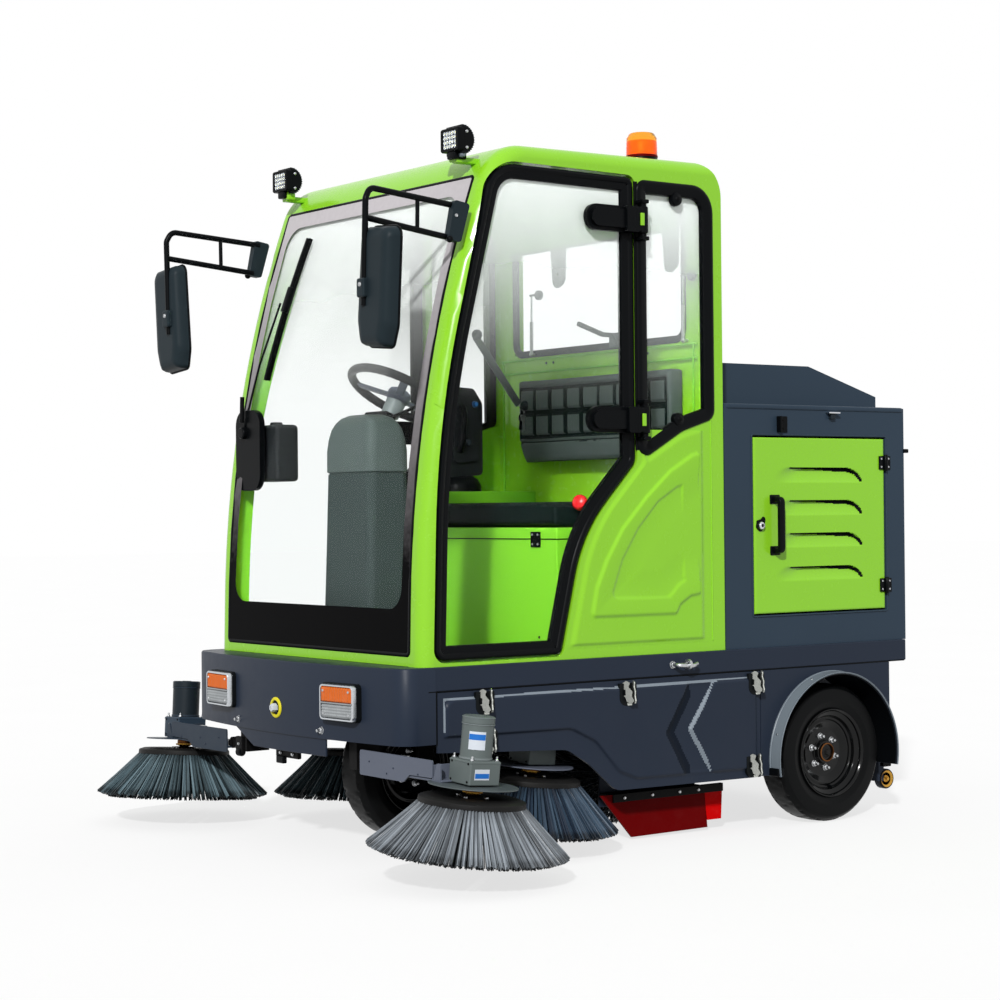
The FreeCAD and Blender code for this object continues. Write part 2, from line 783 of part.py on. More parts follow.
def build_hopper():
    """Dust bin that pulls out at the back, with its casters."""
    corners = [
        ("-1*hopper_front", "hopper_floor"),
        ("hopper_step", "hopper_floor"),
        ("hopper_step", "hopper_low"),
        ("hopper_back", "hopper_low"),
        ("hopper_back", "hopper_top"),
        ("-1*hopper_front", "hopper_top"),
    ]
    outer = pad("hopper_block", "yz", corners, "-1*hopper_half", "2*hopper_half")
    inside = [
        ("-1*hopper_front - 10", "hopper_floor + sheet"),
        ("hopper_step + sheet", "hopper_floor + sheet"),
        ("hopper_step + sheet", "hopper_low + sheet"),
        ("hopper_back - sheet", "hopper_low + sheet"),
        ("hopper_back - sheet", "hopper_top - sheet"),
        ("-1*hopper_front - 10", "hopper_top - sheet"),
    ]
    inner = pad("hopper_hollow", "yz", inside, "-1*hopper_half + sheet", "2*hopper_half - 2*sheet")
    handle = box(("-90", "hopper_back + 26", "300"), ("90", "hopper_back + 38", "312"))
    posts = both_sides(box(("78", "hopper_back", "300"), ("90", "hopper_back + 26", "312")))
    fork = box(("hopper_half", "278", "86"), ("448", "300", "150"))
    wheel = rod("x", "30", ("426", "312", "92"), "20")
    bracket = box(("418", "292", "84"), ("426", "324", "140"))
    left = fuse([fork, bracket, wheel])
    keep(fuse([cut(outer, inner), handle] + posts + both_sides(left)), "hopper")


# Rear box

HOOD_HINGES = ("-310", "250")
HOOD_AXIS_Y = "308"
HOOD_AXIS_Z = "1216"


def build_rear_box():
    """Box with a door opening in each side and one under the hood."""
    outer = box(("-1*box_half", "-1*cab_back + 2", "deck_top"), ("box_half", "box_back", "box_top"))
    inner = box(("-1*box_half + box_wall", "-1*cab_back + 2 + box_wall", "deck_top - 10"),
                ("box_half - box_wall", "box_back - box_wall", "box_top - box_wall"))
    doorway = box(("-600", "-1*box_door_front - 5", "box_door_low - 5"),
                  ("600", "box_door_back + 5", "box_door_high + 5"))
    hatch = box(("-380", "-320", "box_top - 40"), ("380", "230", "box_top + 10"))
    keep(fuse([cut(cut(cut(outer, inner), doorway), hatch)] + hood_pins()), "rear_box")


LOUVRES = ((984, 1026), (890, 932), (798, 838), (703, 742))


def louvre_tool(low, high):
    """Wedge that presses one louvre into a box door, deepest under its upper edge."""
    corners = [("box_half + 1", low), ("box_half + 1", high), ("box_half - 9", high), ("box_half - 9", high - 8)]
    return pad("louvre", "xz", corners, -88, 254)


def build_box_doors():
    """Green doors on both sides of the rear box, hinged at their back edge."""
    panel = box(("box_half - 20", "-1*box_door_front", "box_door_low"),
                ("box_half", "box_door_back", "box_door_high"))
    pieces = [panel]
    for z in (1042, 680):
        pieces.append(rod("z", "6", ("box_half + 7", "box_door_back + 1", z - 26), "52"))
        pieces.append(box(("box_half", "box_door_back - 24", z - 26), ("box_half + 5", "box_door_back", z + 26)))
    pieces.append(box(("box_half + 22", "-219", "782"), ("box_half + 34", "-201", "944")))
    for z in (786, 924):
        pieces.append(box(("box_half", "-219", z), ("box_half + 22", "-201", z + 16)))
    louvres = fuse([louvre_tool(low, high) for low, high in LOUVRES])
    keep(cut(fuse(pieces), louvres), "box_door_left")
    keep(mirrored(cut(fuse(pieces), louvres)), "box_door_right")


def build_hood():
    """Sloped lid on top of the rear box."""
    corners = [
        ("-1*hood_front", "hood_low"),
        ("hood_back", "hood_low"),
        ("hood_back", "hood_back_top"),
        ("hood_slope_y", "hood_top"),
        ("-1*hood_front", "hood_top"),
    ]
    outer = pad("hood_block", "yz", corners, "-1*hood_half", "2*hood_half")
    inside = [
        ("-1*hood_front + hood_wall", "hood_low - 10"),
        ("hood_back - hood_wall", "hood_low - 10"),
        ("hood_back - hood_wall", "hood_back_top - hood_wall"),
        ("hood_slope_y", "hood_top - hood_wall"),
        ("-1*hood_front + hood_wall", "hood_top - hood_wall"),
    ]
    inner = pad("hood_hollow", "yz", inside, "-1*hood_half + hood_wall", "2*hood_half - 2*hood_wall")
    pieces = [cut(outer, inner)]
    for x in HOOD_HINGES:
        pieces.append(rod("x", "6", (x, HOOD_AXIS_Y, HOOD_AXIS_Z), "60"))
        pieces.append(box((x, "hood_back - 2", HOOD_AXIS_Z), ("%s + 60" % x, HOOD_AXIS_Y, "1232")))
    bore = rod("x", "3.2", ("-400", HOOD_AXIS_Y, HOOD_AXIS_Z), "800")
    keep(cut(fuse(pieces), bore), "hood")


def hood_pins():
    """Hinge pins and their ears on the rear box."""
    pieces = []
    for x in HOOD_HINGES:
        pieces.append(rod("x", "3", ("%s - 8" % x, HOOD_AXIS_Y, HOOD_AXIS_Z), "76"))
        for near in ("%s - 8" % x, "%s + 62" % x):
            pieces.append(box((near, "303", "box_top - 2"), (near + " + 6", "313", "1220")))
    return pieces


def build_battery():
    """Battery block inside the rear box."""
    keep(group([box(("-330", "-300", "deck_top"), ("330", "120", "860"))]), "battery_pack")


# Cab inside


def build_seat():
    """Seat box with its arm box, and the two cushions."""
    base = box(("-300", "-925", "deck_top"), ("430", "-437", "864"))
    arm = box(("-484", "-900", "deck_top"), ("-300", "-437", "970"))
    keep(fuse([base, arm]), "seat_box")
    cushion = box(("-292", "-938", "866"), ("430", "-505", "928"))
    back = box(("-320", "-500", "1050"), ("410", "-438", "1315"))
    keep(group([cushion, back]), "seat_cushions")


def build_controls():
    """Steering console and the control pod beside the seat."""
    shape = Part.makeLoft([
        console_ring(120, 75, size("deck_top")),
        console_ring(104, 62, 1120.0),
        console_ring(80, 45, 1175.0),
    ], True, True)
    column = Part.makeCylinder(20, 70, Vector(0, -1190, 1150), Vector(0, 0.5, 0.866))
    pod = block(-440, -330, -740, -600, 1010, 1290).fuse(block(-430, -340, -730, -610, 970, 1010))
    keep(solid("cab_controls", Part.makeCompound([shape.fuse(column), pod])), "cab_controls")


def console_ring(half_x, half_y, z):
    """Level rectangle about the console's middle."""
    middle = -1245.0
    corners = [Vector(sx * half_x, middle + sy * half_y, z) for sx, sy in ((-1, -1), (1, -1), (1, 1), (-1, 1))]
    return Part.makePolygon(corners + corners[:1])


def build_steering_wheel():
    """Rim, hub and three spokes, tilted towards the driver."""
    shape = Part.makeTorus(145, 13)
    shape = shape.fuse(Part.makeCylinder(34, 34, Vector(0, 0, -22)))
    for turn in (90, 210, 330):
        spoke = block(20, 145, -11, 11, -6, 4)
        spoke.rotate(Vector(), Vector(0, 0, 1), turn)
        shape = shape.fuse(spoke)
    shape.rotate(Vector(), Vector(1, 0, 0), -30)
    shape.translate(Vector(0, -1140, 1236))
    keep(solid("steering_wheel", shape), "steering_wheel")


# Lamps and mirrors


HEADLAMP_TURN = 4.6
HEADLAMP_FACE = (310.0, -1552.0, 422.5)
HEADLAMP_SIZE = (142.0, 40.0, 93.0)
WORK_LIGHT_LEVEL = 1877.0


def headlamp():
    """Left headlamp box on the bowed bumper, turned outwards with it."""
    width, depth, height = HEADLAMP_SIZE
    shape = block(-width / 2, width / 2, 0, depth, -height / 2, height / 2)
    shape = shape.makeFillet(10, [edge for edge in shape.Edges if edge.BoundBox.YLength > depth - 1])
    shape.rotate(Vector(), Vector(0, 0, 1), HEADLAMP_TURN)
    shape.translate(Vector(*HEADLAMP_FACE))
    return shape.cut(plan_solid(0, -1300, size("bumper_low"), size("deck_top")))


def work_light():
    """Left work light: a framed face, a round-backed case, its pivot and its foot on the roof."""
    level = WORK_LIGHT_LEVEL
    shape = block(390, 470, -1266, -1246, level - 31, level + 31)
    drum = Part.makeCylinder(38, 72, Vector(394, -1246, level), Vector(1, 0, 0))
    shape = shape.fuse(drum.common(block(394, 466, -1250, -1208, level - 38, level + 38)))
    pivot = block(412, 448, -1262, -1222, 1826, level - 28)
    foot = block(418, 442, -1250, -1150, 1820, 1846).cut(CAB_OUTSIDE)
    return shape.fuse([pivot, foot]).removeSplitter()


def build_lamps():
    """Headlamps, work lights and the beacon."""
    beacon = Part.makeCylinder(47, 22, Vector(380, -570, size("roof_top") - 2.6))
    beacon = beacon.fuse(Part.makeCylinder(44, 66, Vector(380, -570, size("roof_top") + 19)))
    left = [headlamp(), work_light()]
    shape = Part.makeCompound(left + [side_mirror(piece) for piece in left] + [beacon])
    keep(solid("lamps", shape), "lamps")


def tube_between(start, stop, radius):
    """Round tube shape from one point to another, with round ends."""
    run = stop - start
    ends = [Part.makeSphere(radius, start), Part.makeSphere(radius, stop)]
    return Part.makeCylinder(radius, run.Length, start, run).fuse(ends)


MIRROR_TUBES = (
    ((484, -1296, 1695), (520, -1570, 1716)),
    ((520, -1570, 1716), (523, -1587, 1694)),
    ((523, -1587, 1694), (512, -1587, 1450)),
    ((484, -1318, 1612), (521, -1584, 1642)),
    ((496, -1420, 1629), (496, -1420, 1701)),
)
MIRROR_TUBE_RADIUS = 8.0
MIRROR_LEAN = 7.0


def mirror_head():
    """Left mirror's housing with rounded corners, leaning in at its foot."""
    shape = block(-64, 64, -28, 28, -150, 150)
    shape = shape.makeFillet(24, [edge for edge in shape.Edges if edge.BoundBox.ZLength > 290])
    shape.rotate(Vector(), Vector(0, 1, 0), MIRROR_LEAN)
    shape.translate(Vector(548, -1571, 1470))
    return shape


def build_mirrors():
    """Mirror heads on their tube frames at the front pillars."""
    corners = [Vector(474, y, z) for y, z in ((-1305, 1699), (-1200, 1692), (-1200, 1600), (-1331, 1610))]
    bracket = Part.Face(Part.makePolygon(corners + corners[:1])).extrude(Vector(20, 0, 0))
    left = bracket.cut(CAB_OUTSIDE)
    for start, stop in MIRROR_TUBES:
        left = left.fuse(tube_between(Vector(*start), Vector(*stop), MIRROR_TUBE_RADIUS))
    left = left.fuse(mirror_head()).removeSplitter()
    keep(solid("mirrors", Part.makeCompound([left, side_mirror(left)])), "mirrors")


def main():
    """Builds every sub-part, checks it and writes its file."""
    build_deck()
    build_bumper()
    build_skirts()
    build_fenders()
    build_frame()
    build_eyes()
    build_cab_sides()
    build_cab_middle()
    build_glass()
    build_doors()
    build_wheel("rear_left", "rear_wheel_x", "0", 90)
    build_wheel("rear_right", "-1*rear_wheel_x", "0", -90)
    build_wheel("front", "0", "-1*wheelbase", 90)
    build_fork()
    for side, word in ((1, "left"), (-1, "right")):
        x = "%d*front_brush_x" % side
        build_brush("front_brush_" + word, side, x, "front_brush_y", "brush_hub_z", "brush_radius")
        x = "%d*mid_brush_x" % side
        build_brush("mid_brush_" + word, side, x, "mid_brush_y", "mid_hub_z", "mid_brush_radius")
    build_front_arms()
    build_mid_arms()
    build_roller()
    build_hopper()
    build_rear_box()
    build_box_doors()
    build_hood()
    build_battery()
    build_seat()
    build_controls()
    build_steering_wheel()
    build_lamps()
    build_mirrors()
    DOC.recompute()
    write_parts()


def write_parts():
    """Stops on any object that failed, then writes one file for each sub-part."""
    for thing in DOC.Objects:
        if "Invalid" in thing.State or "Error" in thing.State:
            raise RuntimeError("failed: %s %s" % (thing.Name, thing.Label))
    os.makedirs("parts", exist_ok=True)
    for thing in NODES:
        shape = thing.Shape
        if shape.isNull() or not shape.isValid():
            raise RuntimeError("bad shape: " + thing.Label)
        shape.exportStep("parts/%s.step" % thing.Label)
    print(len(NODES), "nodes")


main()
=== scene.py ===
import math

import bmesh
import bpy
import numpy as np
from mathutils import Matrix


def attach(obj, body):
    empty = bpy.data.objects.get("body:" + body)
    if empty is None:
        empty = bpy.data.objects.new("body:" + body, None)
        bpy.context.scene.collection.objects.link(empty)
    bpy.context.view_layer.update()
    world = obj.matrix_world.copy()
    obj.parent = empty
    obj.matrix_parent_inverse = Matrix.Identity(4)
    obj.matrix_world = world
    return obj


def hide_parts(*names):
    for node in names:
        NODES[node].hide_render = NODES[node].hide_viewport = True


# Compact ride-on road sweeper. Shapes below are in millimetres, with Y counted
# from the rear axle as in the part's source; mesh_of() brings them to the shared frame.

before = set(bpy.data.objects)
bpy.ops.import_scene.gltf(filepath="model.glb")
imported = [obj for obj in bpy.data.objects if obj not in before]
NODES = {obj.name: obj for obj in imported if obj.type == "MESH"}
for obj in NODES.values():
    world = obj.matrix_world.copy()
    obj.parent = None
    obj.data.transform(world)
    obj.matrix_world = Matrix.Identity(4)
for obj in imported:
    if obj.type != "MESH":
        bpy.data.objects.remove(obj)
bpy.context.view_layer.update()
AXLE = 671.0
MM = 0.001
RNG = np.random.default_rng(41)


# Camera

CAMERA_PLACE = (5.119, -3.900, 0.913)
CAMERA_YAW = math.radians(53.589)
CAMERA_PITCH = math.radians(0.26)
CAMERA_ROLL = math.radians(-0.552)
FOCAL_PIXELS = 2207.2
IMAGE_PIXELS = 1000.0
SENSOR_WIDTH = 36.0


def set_camera():
    """Looks along yaw, pitch and roll, with the lens worked out from the focal length in pixels."""
    ahead = np.array([-math.sin(CAMERA_YAW) * math.cos(CAMERA_PITCH),
                      math.cos(CAMERA_YAW) * math.cos(CAMERA_PITCH), math.sin(CAMERA_PITCH)])
    level = np.array([math.cos(CAMERA_YAW), math.sin(CAMERA_YAW), 0.0])
    upright = np.cross(level, ahead)
    right = level * math.cos(CAMERA_ROLL) + upright * math.sin(CAMERA_ROLL)
    above = -level * math.sin(CAMERA_ROLL) + upright * math.cos(CAMERA_ROLL)
    data = bpy.data.cameras.new("photo_camera")
    data.sensor_width = SENSOR_WIDTH
    data.lens = FOCAL_PIXELS * SENSOR_WIDTH / IMAGE_PIXELS
    eye = bpy.data.objects.new("photo_camera", data)
    bpy.context.scene.collection.objects.link(eye)
    turn = np.eye(4)
    turn[:3, 0] = right
    turn[:3, 1] = above
    turn[:3, 2] = -ahead
    turn[:3, 3] = CAMERA_PLACE
    eye.matrix_world = Matrix(turn.tolist())
    bpy.context.scene.camera = eye


# Shader helpers


def add_node(tree, kind, settings, inputs=None):
    """One shader node with its settings, and its sockets linked or set by name or number."""
    made = tree.nodes.new("ShaderNode" + kind)
    for key, value in settings.items():
        setattr(made, key, value)
    for key, value in (inputs or {}).items():
        socket = made.inputs[key]
        if isinstance(value, bpy.types.NodeSocket):
            tree.links.new(value, socket)
        else:
            socket.default_value = value
    return made


def blend_colour(tree, share, first, second):
    """Colour between two others by a share."""
    return add_node(tree, "Mix", {"data_type": "RGBA"}, {0: share, 6: first, 7: second}).outputs[2]


def sum_of(tree, first, second, kind="ADD"):
    """One arithmetic step between two values."""
    return add_node(tree, "Math", {"operation": kind}, {0: first, 1: second}).outputs[0]


def spread(tree, value, low, high, to_low, to_high):
    """Value carried from one range to another and held inside it."""
    made = add_node(tree, "MapRange", {"clamp": True},
                    {"Value": value, "From Min": low, "From Max": high, "To Min": to_low, "To Max": to_high})
    return made.outputs[0]


def noise(tree, place, scale, detail, rough=0.5):
    """Noise value at one scale."""
    made = add_node(tree, "TexNoise", {}, {"Vector": place, "Scale": scale, "Detail": detail, "Roughness": rough})
    return made.outputs["Fac"]


def object_place(tree):
    """Object coordinates."""
    return tree.nodes.new("ShaderNodeTexCoord").outputs["Object"]


def new_group(name, inputs, outputs):
    """Empty node group with named sockets, given as (name, kind, default)."""
    tree = bpy.data.node_groups.new(name, "ShaderNodeTree")
    kinds = {"value": "NodeSocketFloat", "colour": "NodeSocketColor", "vector": "NodeSocketVector"}
    for label, kind, default in inputs:
        socket = tree.interface.new_socket(name=label, in_out="INPUT", socket_type=kinds[kind])
        socket.default_value = default
    for label, kind in outputs:
        tree.interface.new_socket(name=label, in_out="OUTPUT", socket_type=kinds[kind])
    return tree, tree.nodes.new("NodeGroupInput"), tree.nodes.new("NodeGroupOutput")


GREY = (0.5, 0.5, 0.5, 1.0)
ROAD_DUST = (0.30, 0.27, 0.23, 1.0)


def road_dust_group():
    """Mask of road dust that thickens towards the floor and settles in blotches."""
    tree, given, out = new_group("road_dust", [("Amount", "value", 0.3), ("Top", "value", 0.6)],
                                 [("Mask", "value")])
    place = object_place(tree)
    height = add_node(tree, "SeparateXYZ", {}, {0: place}).outputs["Z"]
    low = spread(tree, sum_of(tree, height, given.outputs["Top"], "DIVIDE"), 0.0, 1.0, 1.0, 0.0)
    blotch = spread(tree, noise(tree, place, 9.0, 6.0, 0.62), 0.38, 0.72, 0.0, 1.0)
    speck = spread(tree, noise(tree, place, 260.0, 2.0), 0.55, 0.75, 0.35, 1.0)
    mask = sum_of(tree, sum_of(tree, low, blotch, "MULTIPLY"), speck, "MULTIPLY")
    tree.links.new(sum_of(tree, mask, given.outputs["Amount"], "MULTIPLY"), out.inputs["Mask"])
    return tree


def paint_skin_group(dust):
    """Sprayed paint: slow change of tone, orange peel and road dust."""
    tree, given, out = new_group(
        "paint_skin",
        [("Paint", "colour", GREY), ("Gloss Roughness", "value", 0.3), ("Peel Scale", "value", 420.0),
         ("Tone Change", "value", 0.06), ("Dust", "value", 0.2)],
        [("Color", "colour"), ("Roughness", "value"), ("Height", "value")])
    place = object_place(tree)
    slow = spread(tree, noise(tree, place, 2.6, 3.0), 0.3, 0.7, -0.5, 0.5)
    change = sum_of(tree, slow, given.outputs["Tone Change"], "MULTIPLY")
    toned = add_node(tree, "HueSaturation", {}, {"Color": given.outputs["Paint"],
                                                 "Value": sum_of(tree, change, 1.0)}).outputs[0]
    mask = add_node(tree, "Group", {"node_tree": dust}, {"Amount": given.outputs["Dust"]}).outputs["Mask"]
    tree.links.new(blend_colour(tree, mask, toned, ROAD_DUST), out.inputs["Color"])
    smear = spread(tree, noise(tree, place, 30.0, 5.0, 0.6), 0.35, 0.75, -0.02, 0.07)
    rough = sum_of(tree, sum_of(tree, given.outputs["Gloss Roughness"], smear), sum_of(tree, mask, 0.5, "MULTIPLY"))
    tree.links.new(rough, out.inputs["Roughness"])
    peel = noise(tree, place, given.outputs["Peel Scale"], 2.0, 0.4)
    tree.links.new(peel, out.inputs["Height"])
    return tree


def moulded_grain_group(dust):
    """Moulded plastic or rubber: fine leather-like grain, scuffs and a little dust."""
    tree, given, out = new_group(
        "moulded_grain",
        [("Plastic", "colour", GREY), ("Base Roughness", "value", 0.5), ("Grain Scale", "value", 900.0),
         ("Scuff", "value", 0.3), ("Dust", "value", 0.2)],
        [("Color", "colour"), ("Roughness", "value"), ("Height", "value")])
    place = object_place(tree)
    cells = add_node(tree, "TexVoronoi", {"feature": "SMOOTH_F1"},
                     {"Vector": place, "Scale": given.outputs["Grain Scale"]}).outputs["Distance"]
    tree.links.new(cells, out.inputs["Height"])
    scuffed = sum_of(tree, spread(tree, noise(tree, place, 16.0, 7.0, 0.65), 0.5, 0.72, 0.0, 1.0),
                     given.outputs["Scuff"], "MULTIPLY")
    lighter = add_node(tree, "HueSaturation", {}, {"Color": given.outputs["Plastic"], "Value": 1.9,
                                                   "Saturation": 0.8}).outputs[0]
    scuffs = blend_colour(tree, scuffed, given.outputs["Plastic"], lighter)
    mask = add_node(tree, "Group", {"node_tree": dust}, {"Amount": given.outputs["Dust"]}).outputs["Mask"]
    tree.links.new(blend_colour(tree, mask, scuffs, ROAD_DUST), out.inputs["Color"])
    rough = sum_of(tree, given.outputs["Base Roughness"], sum_of(tree, scuffed, 0.25, "MULTIPLY"))
    tree.links.new(sum_of(tree, rough, sum_of(tree, mask, 0.4, "MULTIPLY")), out.inputs["Roughness"])
    return tree


def worked_metal_group():
    """Plated or machined metal: streaks along one axis, spots of dull oxide."""
    tree, given, out = new_group(
        "worked_metal",
        [("Metal", "colour", GREY), ("Base Roughness", "value", 0.3), ("Stretch", "vector", (40.0, 900.0, 900.0)),
         ("Oxide", "value", 0.2)],
        [("Color", "colour"), ("Roughness", "value"), ("Height", "value")])
    place = object_place(tree)
    drawn = add_node(tree, "VectorMath", {"operation": "MULTIPLY"}, {0: place, 1: given.outputs["Stretch"]}).outputs[0]
    streak = noise(tree, drawn, 1.0, 3.0)
    spots = sum_of(tree, spread(tree, noise(tree, place, 120.0, 4.0, 0.6), 0.5, 0.7, 0.0, 1.0),
                   given.outputs["Oxide"], "MULTIPLY")
    dull = add_node(tree, "HueSaturation", {}, {"Color": given.outputs["Metal"], "Value": 0.45}).outputs[0]
    tree.links.new(blend_colour(tree, spots, given.outputs["Metal"], dull), out.inputs["Color"])
    rough = sum_of(tree, given.outputs["Base Roughness"], sum_of(tree, spots, 0.35, "MULTIPLY"))
    tree.links.new(sum_of(tree, rough, sum_of(tree, streak, 0.12, "MULTIPLY")), out.inputs["Roughness"])
    tree.links.new(streak, out.inputs["Height"])
    return tree


DUST = road_dust_group()
PAINT_SKIN = paint_skin_group(DUST)
MOULDED_GRAIN = moulded_grain_group(DUST)
WORKED_METAL = worked_metal_group()


def start_material(name):
    """Material with an empty Principled shader on its output."""
    material = bpy.data.materials.new(name)
    material.use_nodes = True
    tree = material.node_tree
    return material, tree, tree.nodes["Principled BSDF"]


def bumped(tree, shader, height, strength, distance):
    """Feeds a height into the shader's normal."""
    bump = add_node(tree, "Bump", {}, {"Height": height, "Strength": strength, "Distance": distance})
    tree.links.new(bump.outputs["Normal"], shader.inputs["Normal"])


def skinned(name, group, inputs, strength, depth, constants):
    """Material whose colour, roughness and height come from a shared group, with constants on other sockets."""
    material, tree, shader = start_material(name)
    skin = add_node(tree, "Group", {"node_tree": group}, inputs)
    tree.links.new(skin.outputs["Color"], shader.inputs["Base Color"])
    tree.links.new(skin.outputs["Roughness"], shader.inputs["Roughness"])
    bumped(tree, shader, skin.outputs["Height"], strength, depth)
    for label, value in constants.items():
        shader.inputs[label].default_value = value
    return material


def painted(name, colour, rough, coat, peel, depth, tone, dust, metallic=0.0, shine=0.5):
    """Sprayed or powder-coated paint."""
    inputs = {"Paint": colour, "Gloss Roughness": rough, "Peel Scale": peel, "Tone Change": tone, "Dust": dust}
    return skinned(name, PAINT_SKIN, inputs, 0.35, depth, {
        "Metallic": metallic, "Specular IOR Level": shine, "Coat Weight": coat, "Coat Roughness": 0.06})


def moulded(name, colour, rough, grain, depth, scuff, dust, coat=0.0, sheen=0.0, shine=0.25):
    """Moulded plastic, vinyl or rubber."""
    inputs = {"Plastic": colour, "Base Roughness": rough, "Grain Scale": grain, "Scuff": scuff, "Dust": dust}
    return skinned(name, MOULDED_GRAIN, inputs, 0.4, depth, {
        "Specular IOR Level": shine, "Coat Weight": coat, "Sheen Weight": sheen})


METAL_DEPTH = 0.00015


def metal(name, colour, rough, stretch, oxide):
    """Plated, cast or machined metal."""
    inputs = {"Metal": colour, "Base Roughness": rough, "Stretch": stretch, "Oxide": oxide}
    return skinned(name, WORKED_METAL, inputs, 0.3, METAL_DEPTH, {"Metallic": 1.0})


def glazed(name, colour, rough, ior, smear):
    """Clear or tinted pane or lens that lets the lamps' light through, with faint smears."""
    material, tree, shader = start_material(name)
    film = spread(tree, noise(tree, object_place(tree), 7.0, 5.0, 0.6), 0.45, 0.75, 0.0, smear)
    tree.links.new(blend_colour(tree, film, colour, (0.72, 0.74, 0.74, 1.0)), shader.inputs["Base Color"])
    tree.links.new(sum_of(tree, film, rough), shader.inputs["Roughness"])
    shader.inputs["Transmission Weight"].default_value = 1.0
    shader.inputs["IOR"].default_value = ior
    clear = add_node(tree, "BsdfTransparent", {}, {"Color": colour})
    path = tree.nodes.new("ShaderNodeLightPath")
    mix = add_node(tree, "MixShader", {}, {0: path.outputs["Is Shadow Ray"], 1: shader.outputs[0],
                                           2: clear.outputs[0]})
    tree.links.new(mix.outputs[0], tree.nodes["Material Output"].inputs["Surface"])
    return material


def linear(red, green, blue):
    """Linear colour of an sRGB one given from 0 to 255."""
    share = np.array([red, green, blue]) / 255.0
    value = np.where(share <= 0.04045, share / 12.92, ((share + 0.055) / 1.055) ** 2.4)
    return (*value.tolist(), 1.0)


LIME = painted("lime_gloss_paint", linear(141, 208, 38), 0.24, 0.2, 160.0, 0.00008, 0.03, 0.02, shine=0.3)
LIME_INSIDE = painted("lime_inside_paint", linear(124, 202, 44), 0.42, 0.0, 160.0, 0.00004, 0.04, 0.0, shine=0.15)
SLATE = painted("slate_powder_coat", linear(38, 46, 60), 0.34, 0.0, 600.0, 0.0002, 0.08, 0.03, shine=0.10)
SLATE_BOX = painted("slate_box_coat", linear(48, 62, 76), 0.36, 0.0, 600.0, 0.0002, 0.08, 0.02, shine=0.10)
BLACK_STEEL = painted("black_frame_paint", linear(14, 14, 15), 0.45, 0.0, 500.0, 0.0004, 0.15, 0.06, shine=0.06)
ARM_GREY = painted("arm_grey_coat", linear(92, 98, 112), 0.40, 0.0, 650.0, 0.0003, 0.10, 0.05, shine=0.2)
ARM_DARK = painted("arm_dark_coat", linear(44, 54, 66), 0.40, 0.0, 650.0, 0.0003, 0.10, 0.04, shine=0.12)
MOTOR_GREY = painted("motor_grey_coat", linear(94, 103, 102), 0.42, 0.0, 600.0, 0.0003, 0.10, 0.02, shine=0.25)
MOTOR_DARK = painted("motor_dark_coat", linear(30, 38, 44), 0.40, 0.0, 600.0, 0.0003, 0.10, 0.03, shine=0.12)
FENDER_GREY = painted("fender_grey_coat", linear(116, 126, 134), 0.36, 0.0, 600.0, 0.0003, 0.10, 0.06, shine=0.25)
BLACK_TRIM = moulded("black_trim_moulding", linear(9, 11, 13), 0.32, 1300.0, 0.0001, 0.06, 0.0, 0.0, shine=0.06)
MIRROR_SHELL = moulded("mirror_shell_plastic", linear(34, 44, 49), 0.42, 1500.0, 0.00012, 0.06, 0.0, shine=0.08)
LAMP_HOUSING = painted("lamp_housing_coat", linear(16, 19, 21), 0.38, 0.0, 900.0, 0.0002, 0.1, 0.0, shine=0.08)
CONSOLE_GREY = moulded("console_plastic", linear(50, 60, 59), 0.5, 700.0, 0.0002, 0.06, 0.0, shine=0.08)
CONSOLE_TOP = moulded("console_hood_plastic", linear(72, 82, 80), 0.46, 700.0, 0.0002, 0.06, 0.0, shine=0.1)
POD_GREY = moulded("pod_plastic", linear(30, 33, 35), 0.5, 800.0, 0.0003, 0.08, 0.0, shine=0.08)
VINYL = moulded("seat_vinyl", linear(76, 86, 84), 0.46, 420.0, 0.0003, 0.08, 0.0, 0.0, 0.03, shine=0.12)
# Dark vinyl of the seat cushion; on the back cushion it is painted shade in the sunk field and the roll crease.
VINYL_DARK_AND_SHADED = moulded("seat_vinyl_dark", linear(12, 25, 23), 0.48, 420.0, 0.0003, 0.06, 0.0, 0.0, 0.0, shine=0.06)
TYRE_RUBBER = moulded("tyre_rubber", linear(8, 9, 10), 0.36, 600.0, 0.0003, 0.06, 0.0, shine=0.08)
RED_SHEET = moulded("red_rubber_sheet", linear(214, 2, 4), 0.45, 500.0, 0.0003, 0.06, 0.02, shine=0.05)
# Painted shade: the flaps under the body take this shaded red; the beacon's ring takes it as dark red.
RED_DARK_AND_SHADED = moulded("red_rubber_shaded", linear(104, 1, 3), 0.5, 500.0, 0.0003, 0.06, 0.02, shine=0.04)
RIM_BLACK = painted("rim_gloss_black", linear(7, 8, 9), 0.14, 0.12, 250.0, 0.0002, 0.1, 0.02, shine=0.15)
DISC_BROWN = moulded("brush_disc_plastic", linear(24, 24, 24), 0.5, 400.0, 0.0006, 0.3, 0.06, shine=0.1)
BATTERY_CASE = moulded("battery_case", linear(38, 40, 44), 0.5, 500.0, 0.0005, 0.2, 0.1)
ZINC = metal("zinc_plating", linear(186, 188, 190), 0.30, (300.0, 300.0, 300.0), 0.35)
CHROME = metal("polished_chrome", linear(206, 208, 212), 0.10, (60.0, 60.0, 900.0), 0.05)
BRASS = metal("yellow_passivated", linear(196, 150, 66), 0.3, (300.0, 300.0, 300.0), 0.4)
COPPER = metal("coupling_copper", linear(120, 76, 40), 0.38, (300.0, 300.0, 300.0), 0.5)
MIRROR_FACE = metal("mirror_silver", linear(232, 236, 238), 0.02, (5.0, 5.0, 5.0), 0.02)
PANE = glazed("window_pane", (0.97, 0.985, 0.98, 1.0), 0.0, 1.06, 0.004)
BEACON_LENS = glazed("beacon_lens", (1.0, 0.42, 0.03, 1.0), 0.05, 1.25, 0.01)
DIODE_LENS = glazed("diode_lens", (0.95, 0.97, 0.98, 1.0), 0.02, 1.2, 0.01)
LAMP_BOWL = painted("lamp_reflector", linear(205, 208, 212), 0.2, 0.3, 300.0, 0.0003, 0.05, 0.0, 0.6)
